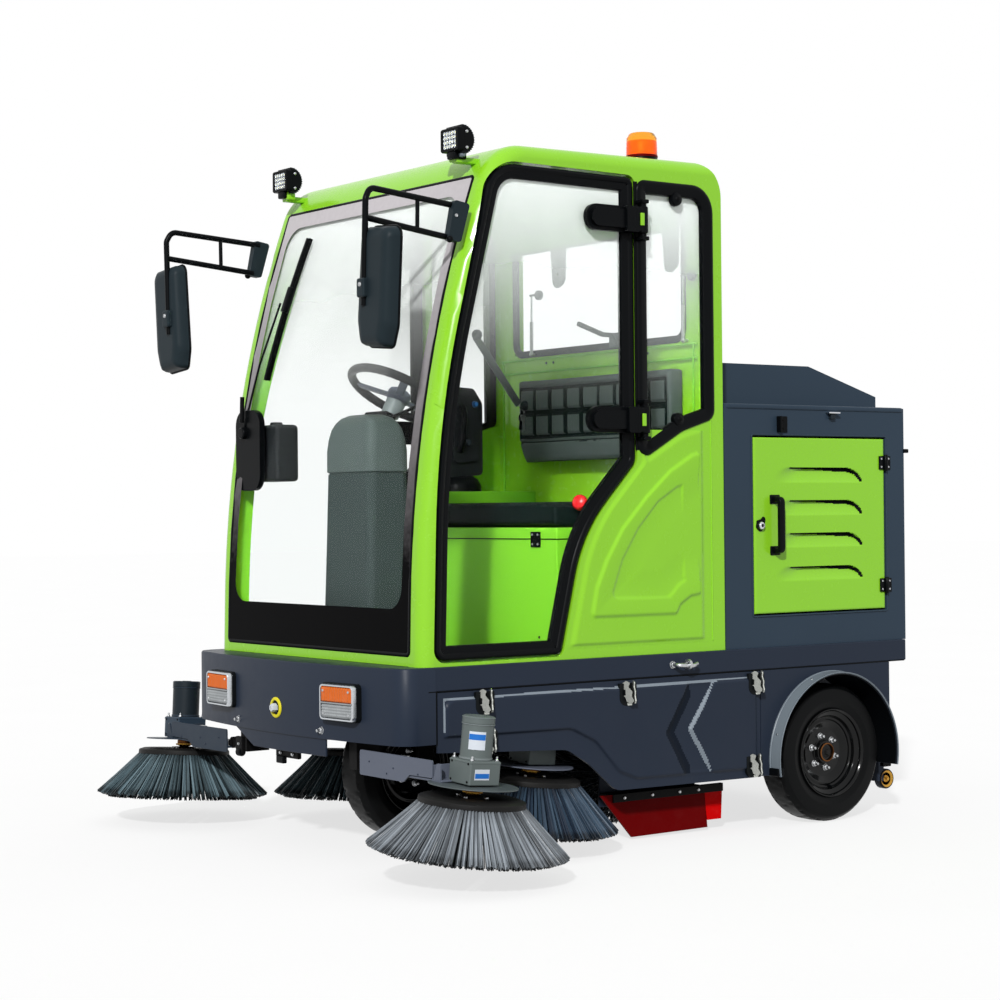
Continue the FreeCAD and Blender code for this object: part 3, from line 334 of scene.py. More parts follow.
AMBER_BULB = moulded("amber_bulb", linear(255, 132, 12), 0.35, 500.0, 0.0001, 0.0, 0.0)
AMBER_LENS = moulded("amber_lens", linear(206, 96, 8), 0.22, 500.0, 0.00005, 0.1, 0.0, 0.2, shine=0.3)
PALE_LENS = moulded("pale_lens", linear(140, 144, 146), 0.22, 500.0, 0.00005, 0.3, 0.0, 0.3, shine=0.4)
LAMP_FRAME = metal("lamp_frame_chrome", linear(200, 204, 208), 0.16, (60.0, 60.0, 60.0), 0.1)
LATCH_STEEL = metal("latch_plating", linear(196, 198, 192), 0.42, (200.0, 200.0, 200.0), 0.3)
MOTOR_CAP = painted("motor_cap_grey", linear(118, 126, 127), 0.40, 0.0, 600.0, 0.0003, 0.10, 0.03, shine=0.3)
# Painted highlight: pale grey on the skirts' edges and risers that face the light.
PAINTED_HIGHLIGHT_GREY = painted("painted_highlight_grey", linear(128, 138, 148), 0.36, 0.0, 600.0, 0.0002, 0.10, 0.02, shine=0.3)
# Painted shade: dark on the skirts' slope that faces away from the light.
FOLD_PAINTED_SHADE = painted("painted_fold_shade", linear(24, 30, 40), 0.4, 0.0, 600.0, 0.0002, 0.10, 0.0, shine=0.03)
LEVER_GREY = painted("lever_grey_paint", linear(78, 86, 88), 0.36, 0.0, 600.0, 0.0002, 0.10, 0.0, shine=0.3)
YELLOW_DIODE = moulded("diode_yellow", linear(214, 206, 150), 0.3, 500.0, 0.0001, 0.0, 0.0)
BLANK_WHITE = moulded("blank_sticker_white", linear(206, 212, 220), 0.35, 900.0, 0.0001, 0.05, 0.02)
BLANK_BLUE = moulded("blank_sticker_blue", linear(20, 104, 190), 0.35, 900.0, 0.0001, 0.05, 0.02)
YELLOW = moulded("yellow_collar", linear(222, 210, 30), 0.4, 700.0, 0.0002, 0.1, 0.03)
RED_KNOB = moulded("red_knob_plastic", linear(206, 20, 26), 0.24, 700.0, 0.0001, 0.05, 0.02, 0.3)
BLUE_BUTTON = moulded("blue_button_plastic", linear(46, 120, 196), 0.3, 700.0, 0.0001, 0.05, 0.0)


# Shape helpers: a surface is a pair of points (n, 3) in millimetres and a list of face arrays

OUT = (1, 0, 0)
FORE = (0, -1, 0)
AFT = (0, 1, 0)
UP = (0, 0, 1)
EDGE_STEPS = 4


def unit(vectors):
    """Vectors brought to length one along their last axis."""
    vectors = np.asarray(vectors, float)
    return vectors / np.maximum(np.linalg.norm(vectors, axis=-1, keepdims=True), 1e-12)


def grid_faces(rows, columns, loop_rows=False, loop_columns=False):
    """Quads of a grid, with its last row or column joined to the first where it loops."""
    i = np.arange(rows if loop_rows else rows - 1)[:, None]
    j = np.arange(columns if loop_columns else columns - 1)[None, :]
    down = (i + 1) % rows
    along = (j + 1) % columns
    quads = np.stack([i * columns + j, down * columns + j, down * columns + along, i * columns + along], -1)
    return quads.reshape(-1, 4)


def joined(*surfaces):
    """Several surfaces as one."""
    points, faces, start = [], [], 0
    for place, shapes in surfaces:
        points.append(place)
        faces += [shape + start for shape in shapes]
        start += len(place)
    return np.concatenate(points), faces


def moved(surface, by):
    """Surface carried by a vector."""
    return surface[0] + np.asarray(by, float), surface[1]


def turned(surface, axis, degrees, about=(0, 0, 0)):
    """Surface turned about an axis through a point, by Rodrigues' formula."""
    k = unit(axis)
    angle = math.radians(degrees)
    p = surface[0] - np.asarray(about, float)
    spun = p * math.cos(angle) + np.cross(k, p) * math.sin(angle) + np.outer(p @ k, k) * (1 - math.cos(angle))
    return spun + np.asarray(about, float), surface[1]


def aimed(surface, direction, place):
    """Surface whose own Z axis is turned to a direction, and its zero set at a place."""
    up = unit(direction)
    side = unit(np.cross((0.0, 1.0, 0.0) if abs(up[1]) < 0.9 else (1.0, 0.0, 0.0), up))
    frame_rows = np.stack([side, np.cross(up, side), up])
    return surface[0] @ frame_rows + np.asarray(place, float), surface[1]


def other_side(surface):
    """Mirror image across X, with its faces turned round again."""
    return surface[0] * (-1, 1, 1), [shape[:, ::-1] for shape in surface[1]]


def rounded_path(corners, radii, steps, closed=False):
    """Path whose corners give way to arcs: each arc runs between the points one tangent length
    from the corner, about the centre on its bisector, and keeps the ends of an open path."""
    corners = np.asarray(corners, float)
    radii = np.broadcast_to(np.asarray(radii, float), len(corners))[:, None]
    back = unit(np.roll(corners, 1, 0) - corners)
    ahead = unit(np.roll(corners, -1, 0) - corners)
    half = np.arccos(np.clip((back * ahead).sum(1), 1e-9 - 1, 1 - 1e-9))[:, None] / 2
    centre = corners + unit(back + ahead) * radii / np.sin(half)
    first = corners + back * radii / np.tan(half) - centre
    last = corners + ahead * radii / np.tan(half) - centre
    turn = (math.pi - 2 * half)[:, None]
    share = np.linspace(0, 1, steps)[None, :, None]
    arcs = (np.sin((1 - share) * turn) * first[:, None] + np.sin(share * turn) * last[:, None]) / np.sin(turn)
    arcs = arcs + centre[:, None]
    if closed:
        return arcs.reshape(-1, corners.shape[1])
    inner = arcs[1:-1].reshape(-1, corners.shape[1])
    return np.concatenate([corners[:1], inner, corners[-1:]])


def path_tangents(path, closed):
    """Direction of a path at each point from its neighbours."""
    if closed:
        return unit(np.roll(path, -1, 0) - np.roll(path, 1, 0))
    return unit(np.gradient(path, axis=0))


def carried(path, section, across, closed=False):
    """Section of (out, across) offsets carried along a path: each point is the path's point plus
    out times the normal, which is tangent x across, plus the section's second number times across."""
    path = np.asarray(path, float)
    section = np.asarray(section, float)
    along = path_tangents(path, closed)
    across = np.broadcast_to(unit(across), path.shape)
    normal = unit(np.cross(along, across))
    second = np.cross(normal, along)
    points = path[:, None] + section[None, :, :1] * normal[:, None] + section[None, :, 1:] * second[:, None]
    faces = [grid_faces(len(path), len(section), closed, True)]
    if not closed:
        ends = np.arange(len(section))
        faces += [ends[None, :], (ends + (len(path) - 1) * len(section))[None, ::-1]]
    return points.reshape(-1, 3), faces


def round_turn(steps):
    """Even angles once round a circle."""
    return np.linspace(0, 2 * math.pi, steps, endpoint=False)


def ring_section(radius, sides, flat=1.0):
    """Circle of offsets, flattened across where flat is under one."""
    turn = round_turn(sides)
    return np.stack([radius * np.cos(turn), radius * flat * np.sin(turn)], 1)


def bar_section(wide, deep, radius):
    """Rectangle of offsets with round corners."""
    w, d = wide / 2, deep / 2
    return rounded_path([(w, -d), (w, d), (-w, d), (-w, -d)], radius, EDGE_STEPS, True)


def tube(path, radius, across=(0.123, 0.31, 0.94), sides=10, closed=False):
    """Round tube along a path, by the carried section of a circle."""
    return carried(path, ring_section(radius, sides), across, closed)


def lathe(profile, steps):
    """Surface turned about Z: each (radius, height) runs once round the circle."""
    profile = np.asarray(profile, float)
    turn = round_turn(steps)[:, None]
    points = np.stack([profile[:, 0] * np.cos(turn), profile[:, 0] * np.sin(turn),
                       np.broadcast_to(profile[:, 1], (steps, len(profile)))], -1)
    return points.reshape(-1, 3), [grid_faces(steps, len(profile), True, False)]


def rounded_box(low, high, radius):
    """Box with round edges: a ball's point in each direction plus the inner corner of that direction's octant."""
    low, high = np.asarray(low, float), np.asarray(high, float)
    middle, half = (low + high) / 2, (high - low) / 2 - radius
    quarter = np.linspace(0, math.pi / 2, EDGE_STEPS)
    lon = np.concatenate([quarter + k * math.pi / 2 for k in range(4)])
    sign_x = np.repeat([1, -1, -1, 1], EDGE_STEPS)
    sign_y = np.repeat([1, 1, -1, -1], EDGE_STEPS)
    lat = np.concatenate([quarter - math.pi / 2, quarter])
    sign_z = np.repeat([-1, 1], EDGE_STEPS)
    x = sign_x[None] * half[0] + radius * np.cos(lat)[:, None] * np.cos(lon)[None]
    y = sign_y[None] * half[1] + radius * np.cos(lat)[:, None] * np.sin(lon)[None]
    z = np.broadcast_to((sign_z * half[2] + radius * np.sin(lat))[:, None], x.shape)
    points = np.stack([x, y, z], -1).reshape(-1, 3) + middle
    rows, count = 2 * EDGE_STEPS, 4 * EDGE_STEPS
    faces = [grid_faces(rows, count, False, True)[:, ::-1],
             np.arange(count)[None, ::-1], (np.arange(count) + (rows - 1) * count)[None]]
    return points, faces


def plate(outline, low, high, axis):
    """Flat outline of two coordinates carried from low to high along the third."""
    outline = np.asarray(outline, float)
    count = len(outline)
    order = {"x": (2, 0, 1), "y": (0, 2, 1), "z": (0, 1, 2)}[axis]
    both = np.concatenate([np.column_stack([outline, np.full(count, float(low))]),
                           np.column_stack([outline, np.full(count, float(high))])])
    ring = np.arange(count)
    sides = np.stack([ring, (ring + 1) % count, (ring + 1) % count + count, ring + count], 1)
    return both[:, order], [sides, ring[None, ::-1], ring[None] + count]


def ball(centre, radius, steps=16):
    """Sphere turned from a half circle."""
    turn = np.linspace(-math.pi / 2, math.pi / 2, steps)
    return moved(lathe(np.stack([radius * np.cos(turn), radius * np.sin(turn)], 1), steps * 2), centre)


def rod(start, stop, radius, sides=20, edge=0.0):
    """Round rod between two points, with its end edges eased."""
    start, stop = np.asarray(start, float), np.asarray(stop, float)
    run = stop - start
    long = np.linalg.norm(run)
    profile = [(0, 0), (radius - edge, 0), (radius, edge), (radius, long - edge), (radius - edge, long), (0, long)]
    return aimed(lathe(profile, sides), run, start)


def hexagon(start, direction, across, height):
    """Six-sided bolt head with a dished top."""
    r = across / math.sqrt(3)
    body = lathe([(0, 0), (r, 0), (r, height * 0.8), (r * 0.86, height), (0, height)], 6)
    return aimed(body, direction, start)


def washer_bolt(place, direction, size):
    """Hexagon bolt on its washer."""
    base = np.asarray(place, float)
    way = unit(direction)
    disc = rod(base, base + way * size * 0.18, size * 1.05, 20, 0.3)
    return joined(disc, hexagon(base + way * size * 0.18, way, size * 1.6, size * 0.6))


def pan_screw(place, direction, radius):
    """Low round screw head with a recessed middle."""
    profile = [(0, radius * 0.25), (radius * 0.35, radius * 0.25), (radius * 0.42, radius * 0.5),
               (radius * 0.8, radius * 0.42), (radius, 0)]
    return aimed(lathe(profile, 14), direction, place)


def ring_at(flat, y):
    """Outline of (X, Z) set at one Y."""
    return np.column_stack([flat[:, 0], np.full(len(flat), float(y)), flat[:, 1]])


def layered(rings, first=False, last=False):
    """Surface through rings of equal count, with its first and last ring closed where asked."""
    count = len(rings[0])
    faces = [grid_faces(len(rings), count, False, True)]
    if first:
        faces.append(np.arange(count)[None])
    if last:
        faces.append((np.arange(count) + (len(rings) - 1) * count)[None])
    return np.concatenate(rings), faces


def every(material, *surfaces):
    """Pairs of each surface with the same material."""
    return [(surface, material) for surface in surfaces]


def placed(pairs, direction, place):
    """Pairs whose surfaces are aimed along a direction at a place."""
    return [(aimed(surface, direction, place), material) for surface, material in pairs]


def mirrored(pairs):
    """Mirror images of pairs across X."""
    return [(other_side(surface), material) for surface, material in pairs]


# Making objects

MERGE_GAP = 1e-6
CAD_MERGE_GAP = 2e-5
CAD_FLAT_ANGLE = 0.4
SHARP_ANGLE = 32.0
CAD_SHARP_ANGLE = 34.0
SMOOTH_ANGLE = 48.0
STRAND_SMOOTH_ANGLE = 60.0
BEVEL_ROUNDS = 2


def mesh_of(name, parts):
    """Mesh from (surface, material) pairs, scaled to metres and set back to the rear axle."""
    points, faces, marks, start = [], [], [], 0
    materials = []
    for surface, material in parts:
        if material not in materials:
            materials.append(material)
        points.append(surface[0])
        for shape in surface[1]:
            faces += (shape + start).tolist()
            marks += [materials.index(material)] * len(shape)
        start += len(surface[0])
    place = (np.concatenate(points) + (0, AXLE, 0)) * MM
    mesh = bpy.data.meshes.new(name)
    mesh.from_pydata(place.tolist(), [], faces)
    for material in materials:
        mesh.materials.append(material)
    mesh.polygons.foreach_set("material_index", marks)
    return mesh


def round_edges(work, bevel, rounds, degrees):
    """Rounds the edges of an open mesh that are sharper than a limit."""
    limit = math.radians(degrees)
    sharp = [e for e in work.edges if len(e.link_faces) == 2 and e.calc_face_angle(0.0) > limit]
    bmesh.ops.bevel(work, geom=sharp, offset=bevel * MM, offset_type="OFFSET", segments=rounds,
                    profile=0.5, affect="EDGES", clamp_overlap=True)


def settle(mesh, bevel=0.0, turn_out=True):
    """Merges doubles, turns faces outwards and rounds the sharp edges."""
    work = bmesh.new()
    work.from_mesh(mesh)
    bmesh.ops.remove_doubles(work, verts=work.verts, dist=MERGE_GAP)
    if turn_out:
        bmesh.ops.recalc_face_normals(work, faces=work.faces)
    if bevel:
        round_edges(work, bevel, BEVEL_ROUNDS, SHARP_ANGLE)
    work.to_mesh(mesh)
    work.free()


def finish_object(mesh, name, body, stands_for, smooth):
    """Links a mesh as an object that rides on a body."""
    thing = bpy.data.objects.new(name, mesh)
    bpy.context.scene.collection.objects.link(thing)
    mesh.shade_smooth()
    mesh.set_sharp_from_angle(angle=math.radians(smooth))
    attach(thing, body)
    if stands_for:
        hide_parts(*stands_for)
    return thing


def weigh_normals(thing):
    """Keeps large faces flat next to rounded edges."""
    modifier = thing.modifiers.new("flat_faces", "WEIGHTED_NORMAL")
    modifier.keep_sharp = True
    modifier.weight = 100


def make(name, parts, body, slot, bevel=0.0, stands_for=(), turn_out=True, flat=True):
    """Finished piece from (surface, material) pairs."""
    mesh = mesh_of(name, parts)
    settle(mesh, bevel, turn_out)
    thing = finish_object(mesh, name, body, stands_for, SMOOTH_ANGLE)
    if flat:
        weigh_normals(thing)


def dressed(node, material, bevel, rounds, body):
    """Merged copy of a rigid CAD node with its flat faces joined up and its sharp edges rounded."""
    mesh = NODES[node].data.copy()
    mesh.name = node + "_dressed"
    mesh.materials.clear()
    mesh.materials.append(material)
    work = bmesh.new()
    work.from_mesh(mesh)
    bmesh.ops.remove_doubles(work, verts=work.verts, dist=CAD_MERGE_GAP)
    bmesh.ops.dissolve_limit(work, angle_limit=math.radians(CAD_FLAT_ANGLE), verts=work.verts, edges=work.edges)
    round_edges(work, bevel, rounds, CAD_SHARP_ANGLE)
    for face in work.faces:
        face.material_index = 0
    work.to_mesh(mesh)
    work.free()
    for layer in list(mesh.attributes):
        if layer.name == "custom_normal":
            mesh.attributes.remove(layer)
    weigh_normals(finish_object(mesh, node + "_dressed", body, (node,), SMOOTH_ANGLE))


def coat(node, material):
    """Gives a CAD node its finish."""
    NODES[node].data.materials.clear()
    NODES[node].data.materials.append(material)


# Floor and light

WHITE = (1.0, 1.0, 1.0, 1.0)
AMBIENT_LEVEL = 0.55
FLOOR_GLOW = 0.72
FLOOR_REACH = 40.0
SUN_STRENGTH = 2.7
SUN_TOWARD = (0.60, -0.63, 0.49)


def looked_at(tree):
    """One for rays that come from the eye, also by way of metal or glass, and nought for the rest."""
    path = tree.nodes.new("ShaderNodeLightPath")
    seen = sum_of(tree, sum_of(tree, path.outputs["Is Camera Ray"], path.outputs["Is Glossy Ray"]),
                  path.outputs["Is Transmission Ray"])
    return spread(tree, seen, 0.0, 1.0, 0.0, 1.0)


def set_studio():
    """Pale floor and white surround for the eye, one soft key and an even ambient light."""
    bpy.context.scene.view_settings.view_transform = "Standard"
    world = bpy.data.worlds.new("studio")
    bpy.context.scene.world = world
    world.use_nodes = True
    tree = world.node_tree
    level = spread(tree, looked_at(tree), 0.0, 1.0, AMBIENT_LEVEL, 1.0)
    tree.nodes["Background"].inputs["Color"].default_value = WHITE
    tree.links.new(level, tree.nodes["Background"].inputs["Strength"])

    material, tree, shader = start_material("pale_floor")
    place = object_place(tree)
    pale = spread(tree, noise(tree, place, 1.5, 2.0), 0.0, 1.0, 0.27, 0.29)
    tree.links.new(pale, shader.inputs["Base Color"])
    shader.inputs["Roughness"].default_value = 0.9
    shader.inputs["Specular IOR Level"].default_value = 0.0
    shader.inputs["Emission Color"].default_value = WHITE
    tree.links.new(sum_of(tree, looked_at(tree), FLOOR_GLOW, "MULTIPLY"), shader.inputs["Emission Strength"])
    mesh = bpy.data.meshes.new("floor")
    corners = [(x * FLOOR_REACH, y * FLOOR_REACH, 0) for x, y in ((-1, -1), (1, -1), (1, 1), (-1, 1))]
    mesh.from_pydata(corners, [], [(0, 1, 2, 3)])
    mesh.materials.append(material)
    floor = bpy.data.objects.new("floor", mesh)
    bpy.context.scene.collection.objects.link(floor)

    lamp = bpy.data.lights.new("key", "SUN")
    lamp.energy = SUN_STRENGTH
    lamp.angle = math.radians(3)
    key = bpy.data.objects.new("key", lamp)
    toward = unit(SUN_TOWARD)
    side = unit(np.cross(UP, toward))
    turn = np.eye(4)
    turn[:3, 0] = side
    turn[:3, 1] = np.cross(toward, side)
    turn[:3, 2] = toward
    key.matrix_world = Matrix(turn.tolist())
    bpy.context.scene.collection.objects.link(key)


# Outlines shared with the part's source (Y, Z and corner radius)

DOOR_EDGE = ((-982, 530, 22), (-905, 850, 420), (-720, 1040, 40), (-720, 1812, 22),
             (-1190, 1816, 95), (-1367, 1130, 2600), (-1386, 530, 30))
QUARTER_EDGE = ((-690, 1072, 12), (-560, 1145, 160), (-434, 1180, 18), (-434, 1800, 60), (-690, 1800, 18))
FRONT_EDGE = ((-1432, 396, 0), (-1411, 1231, 3450), (-1180, 1870, 145), (-401, 1882, 0))
GLASS_HALF = 461.0
GLASS_LOW = 547.0
GLASS_HIGH = 1780.0


def side_outline(corners, steps):
    """Closed outline in (Y, Z) with rounded corners."""
    corners = np.array(corners, float)
    return rounded_path(corners[:, :2], corners[:, 2], steps, True)


def side_path(corners, x):
    """The same outline as a path at one X."""
    flat = side_outline(corners, 12)
    return np.column_stack([np.full(len(flat), float(x)), flat])


def finer(path, times, closed=True):
    """Path with each run divided evenly, by straight interpolation on the point number."""
    path = np.asarray(path, float)
    whole = np.concatenate([path, path[:1]]) if closed else path
    count = len(whole) - 1
    number = np.arange(count * times + (0 if closed else 1)) / times
    return np.column_stack([np.interp(number, np.arange(count + 1), whole[:, k]) for k in range(path.shape[1])])


FRONT_LINE = np.array(rounded_path(np.array(FRONT_EDGE, float)[:, :2], np.array(FRONT_EDGE, float)[:, 2], 24))


def front_y(z, inset=0.0):
    """Y of the cab's front at a height, moved inwards along its normal by an inset."""
    line = FRONT_LINE[FRONT_LINE[:, 1] < 1868]
    z = np.asarray(z, float)
    y = np.interp(z, line[:, 1], line[:, 0])
    slope = (np.interp(z + 4, line[:, 1], line[:, 0]) - np.interp(z - 4, line[:, 1], line[:, 0])) / 8
    return y + inset * np.sqrt(1 + slope ** 2)


def stadium(y0, y1, z0, z1, radius, steps=8):
    """Rounded rectangle outline of two coordinates."""
    return rounded_path([(y1, z0), (y1, z1), (y0, z1), (y0, z0)], radius, steps, True)


def pair(name, surfaces, body, slot, **settings):
    """One object that holds (surface, material) pairs and their mirror images, or two where the bodies differ."""
    if body == "vehicle":
        make(name, surfaces + mirrored(surfaces), body, slot, **settings)
        return
    stands = settings.pop("stands_for", ())
    for side in ("left", "right"):
        shapes = surfaces if side == "left" else mirrored(surfaces)
        make("%s_%s" % (name, side), shapes, body.replace("SIDE", side), slot,
             stands_for=[node.replace("SIDE", side) for node in stands], **settings)


# Cab


def painted_reflection_sheet(name, low, high, most):
    """Painted reflection of a pane: a white sheet whose cover grows between two heights, slowly at first."""
    material, tree, shader = start_material(name)
    place = object_place(tree)
    height = add_node(tree, "SeparateXYZ", {}, {0: place}).outputs["Z"]
    cloud = spread(tree, noise(tree, place, 5.0, 3.0), 0.3, 0.7, 0.88, 1.0)
    cover = sum_of(tree, sum_of(tree, spread(tree, height, low, high, 0.0, 1.0), 1.9, "POWER"), most, "MULTIPLY")
    tree.links.new(sum_of(tree, cover, cloud, "MULTIPLY"), shader.inputs["Alpha"])
    tree.links.new(blend_colour(tree, cloud, linear(214, 216, 216), linear(230, 232, 231)), shader.inputs["Base Color"])
    shader.inputs["Roughness"].default_value = 0.5
    shader.inputs["Specular IOR Level"].default_value = 0.1
    return material


def build_cab_shell():
    """Painted cab panels with rounded edges, clear panes, and white sheets inside the side panes and the windshield
    that paint the glass's reflection, graded upwards.
    """
    for node in ("cab_sides", "cab_roof", "cab_front_frame", "cab_rear_wall"):
        dressed(node, LIME, 1.6, 2, "vehicle")
    for node in ("cab_windows", "door_left_glass", "door_right_glass"):
        coat(node, PANE)
    # Painted reflection: graded white sheets just inside the panes stand for the glass's shine towards the top.
    film = painted_reflection_sheet("side_pane_painted_reflection", 1.16, 1.84, 0.84)
    door = [(-740, 1140), (-740, 1790), (-1160, 1790), (-1200, 1760), (-1284, 1490), (-1345, 1140)]
    pair("door_film", [(plate(door, 502, 502.6, "x"), film)], "door_SIDE", "pane", flat=False)
    quarter = [(-460, 1186), (-460, 1786), (-682, 1786), (-682, 1100), (-590, 1130)]
    pair("quarter_painted_reflection", [(plate(quarter, 502, 502.6, "x"), film)], "vehicle", "pane", flat=False)
    z = np.linspace(1150.0, 1745.0, 40)
    middle = np.column_stack([np.zeros(40), front_y(z, 9.0), z])
    sheet = carried(middle, [(-0.3, -440), (0.3, -440), (0.3, 440), (-0.3, 440)], OUT)
    film = painted_reflection_sheet("front_pane_painted_reflection", 1.10, 1.74, 0.74)
    make("windshield_painted_reflection", [(sheet, film)], "vehicle", "pane", flat=False)
    z = np.linspace(545.0, 1790.0, 60)
    y = front_y(z, 16.0)
    depth = 50 + 32 * gentle((z - 1100) / 560)
    liner = np.concatenate([np.column_stack([y, z]), np.column_stack([y + depth, z])[::-1]])
    pair("pillar_liner", [(plate(liner, 464, 470, "x"), LIME_INSIDE)], "vehicle", "lime_paint", flat=False)


FRAME_SECTION = ((-1.5, -14), (0, -11), (0, 8), (-2.5, 13), (-8, 15.5), (-14, 14), (-18, 10), (-31, 8.5),
                 (-35.5, 7), (-38, 3), (-38, -10), (-35, -14))


def build_door_frames():
    """Black door frames: a beaded section carried round the door's outline, and the two hinge covers."""
    shapes = [(carried(side_path(DOOR_EDGE, 506), FRAME_SECTION, OUT, True), BLACK_TRIM)]
    for z in (1695, 1153):
        base = plate(stadium(-893, -706, z - 35, z + 35, 34), 519, 534, "x")
        face = plate(stadium(-882, -750, z - 25, z + 25, 24), 532, 545, "x")
        barrel = plate(stadium(-768, -724, z - 35, z + 35, 7), 520, 553, "x")
        knuckle = rod((542, -706, z - 36), (542, -706, z + 36), 15, 28, 2)
        bridge = rounded_box((528, -740, z - 33), (554, -704, z + 33), 4)
        shapes += every(BLACK_TRIM, base, face, barrel, knuckle, bridge)
        shapes += every(LIME, rounded_box((551, -724, z - 17), (558.5, -712, z + 17), 1.5))
    pair("door_frame", shapes, "door_SIDE", "black_plastic", bevel=2.2, stands_for=("door_SIDE_frame",))


def build_quarter_trim():
    """Black seal round the fixed pane behind the door, with its two round clamps."""
    section = ((-19, -4), (-19, 9), (-15, 13), (-6, 14), (4, 17), (12, 17), (18, 13), (19, 8), (19, -4))
    edge = ((-694, 1068, 12), (-560, 1143, 160), (-453, 1176, 18), (-453, 1790, 56), (-694, 1790, 14))
    seal = carried(side_path(edge, 510), section, OUT, True)
    shapes = [(seal, BLACK_TRIM)]
    for z in (1764, 1158):
        clamp = lathe([(0, 20), (7, 20), (9, 17), (17, 15), (19, 9), (19, 0), (0, 0)], 32)
        shapes += [(aimed(clamp, OUT, (511, -567, z)), BLACK_TRIM), (pan_screw((531, -567, z), OUT, 5), BLACK_STEEL)]
    for z in (1695, 1153):
        for low, high in ((-55.5, -44.5), (44.5, 55.5)):
            shapes.append((rounded_box((520, -716, z + low), (555, -692, z + high), 3), BLACK_TRIM))
        shapes += every(BLACK_TRIM, *(rod((542, -704, z + low), (542, -704, z + low + 14), 9, 20, 1)
                                      for low in (-50, 36)))
    # Painted shade: a black strip fills the gap between the door frame and the seal, where shade lies.
    shapes.append((rounded_box((518, -719.4, 1072), (521, -706, 1802), 0.6), BLACK_TRIM))
    pair("quarter_seal", shapes, "vehicle", "black_plastic")


def glass_ring(inner, outer, rows, inset):
    """Ring on the windshield's curve: straight steps between two (X, Z) outlines, with Y from the front's line."""
    inner, outer = finer(inner, 6), finer(outer, 6)
    share = np.linspace(0, 1, rows)[:, None, None]
    flat = inner[None] * (1 - share) + outer[None] * share
    points = np.stack([flat[..., 0], front_y(flat[..., 1], inset), flat[..., 1]], -1)
    return points.reshape(-1, 3), [grid_faces(rows, len(inner), False, True)]


def windshield_print():
    """Black printed border of the windshield, greyed towards the top by a painted reflection of the glass's shine."""
    material, tree, shader = start_material("windshield_print")
    place = object_place(tree)
    height = add_node(tree, "SeparateXYZ", {}, {0: place}).outputs["Z"]
    # Painted reflection: the print turns grey towards the top.
    fade = spread(tree, height, 0.75, 1.75, 0.0, 1.0)
    speckle = spread(tree, noise(tree, place, 60.0, 4.0), 0.3, 0.7, 0.0, 0.06)
    tree.links.new(blend_colour(tree, sum_of(tree, fade, speckle, "SUBTRACT"), linear(2, 2, 3), linear(198, 193, 196)),
                   shader.inputs["Base Color"])
    tree.links.new(spread(tree, noise(tree, place, 25.0, 4.0), 0.3, 0.7, 0.10, 0.20), shader.inputs["Roughness"])
    shader.inputs["Specular IOR Level"].default_value = 0.02
    return material


def build_windshield_trim():
    """Printed border, the black lower band and the rubber that holds the pane."""
    border = windshield_print()
    outer = stadium(-GLASS_HALF, GLASS_HALF, GLASS_LOW, GLASS_HIGH, 10)
    clear = stadium(-426, 426, 661, 1738, 55)
    ring = glass_ring(clear, outer, 6, -1.8)
    seal_path = finer(stadium(-GLASS_HALF - 1, GLASS_HALF + 1, GLASS_LOW - 1, GLASS_HIGH + 1, 10), 8)
    line = np.column_stack([seal_path[:, 0], front_y(seal_path[:, 1], 1.0), seal_path[:, 1]])
    seal = carried(line, ring_section(6.5, 8, 0.6), AFT, True)
    make("windshield_border", [(ring, border)], "vehicle", "black_plastic", turn_out=False, flat=False)
    make("windshield_seal", [(seal, BLACK_TRIM)], "vehicle", "black_plastic", flat=False)


def build_wiper():
    """Wiper motor cover on the glass, its arm with a spring joint, and the thick blade."""
    y = float(front_y(1090))
    cover = plate(stadium(-462, -326, 975, 1205, 44), y - 12, y + 6, "y")
    hub = rod((-410, front_y(1140) - 12, 1140), (-410, front_y(1140) - 34, 1140), 17, 24, 3)
    foot = np.array([-410, front_y(1140) - 26, 1140])
    joint = np.array([-330, front_y(1511) - 26, 1511])
    bend = np.array([-376, front_y(1332) - 26, 1332])
    arm = tube(rounded_path([foot, bend, joint], [0, 160, 0], 8), 3.4, OUT)
    spring = tube(np.linspace(foot + (0, -3, 30), foot + (4, -3, 104), 8), 6.5, OUT)
    z = np.linspace(1289.0, 1695.0, 24)
    x = np.interp(z, (1289, 1695), (-340, -280))
    spine = np.column_stack([x, front_y(z, -1.0) - 17, z])
    lip = np.column_stack([x, front_y(z, -1.0) - 8, z])
    blade = carried(spine, bar_section(11, 10, 3), OUT)
    rubber = carried(lip, bar_section(12, 4, 1), OUT)
    clip = carried(spine[11:16], bar_section(17, 20, 4), OUT)
    motor = rounded_box((-428, -1366, 1000), (-290, -1290, 1162), 12)
    shapes = every(BLACK_TRIM, cover, hub) + every(BLACK_STEEL, arm, spring)
    shapes += [(blade, BLACK_TRIM), (rubber, TYRE_RUBBER), (clip, BLACK_TRIM)]
    make("wiper", shapes, "vehicle", "black_plastic", bevel=1.2)
    cap = rod((-350, -1330, 1160), (-350, -1330, 1170), 18, 24, 3)
    make("wiper_motor", every(POD_GREY, motor, cap), "vehicle", "black_plastic")


def gentle(value):
    """Smooth step from nought to one."""
    value = np.clip(value, 0.0, 1.0)
    return value * value * (3 - 2 * value)


def distance_to_line(y, z, line):
    """Least distance from each grid point to a line of straight runs."""
    line = np.asarray(line, float)
    start, run = line[:-1], np.diff(line, axis=0)
    gap = np.stack([y, z], -1)[..., None, :] - start
    share = np.clip((gap * run).sum(-1) / (run * run).sum(-1), 0, 1)
    return np.linalg.norm(gap - share[..., None] * run, axis=-1).min(-1)


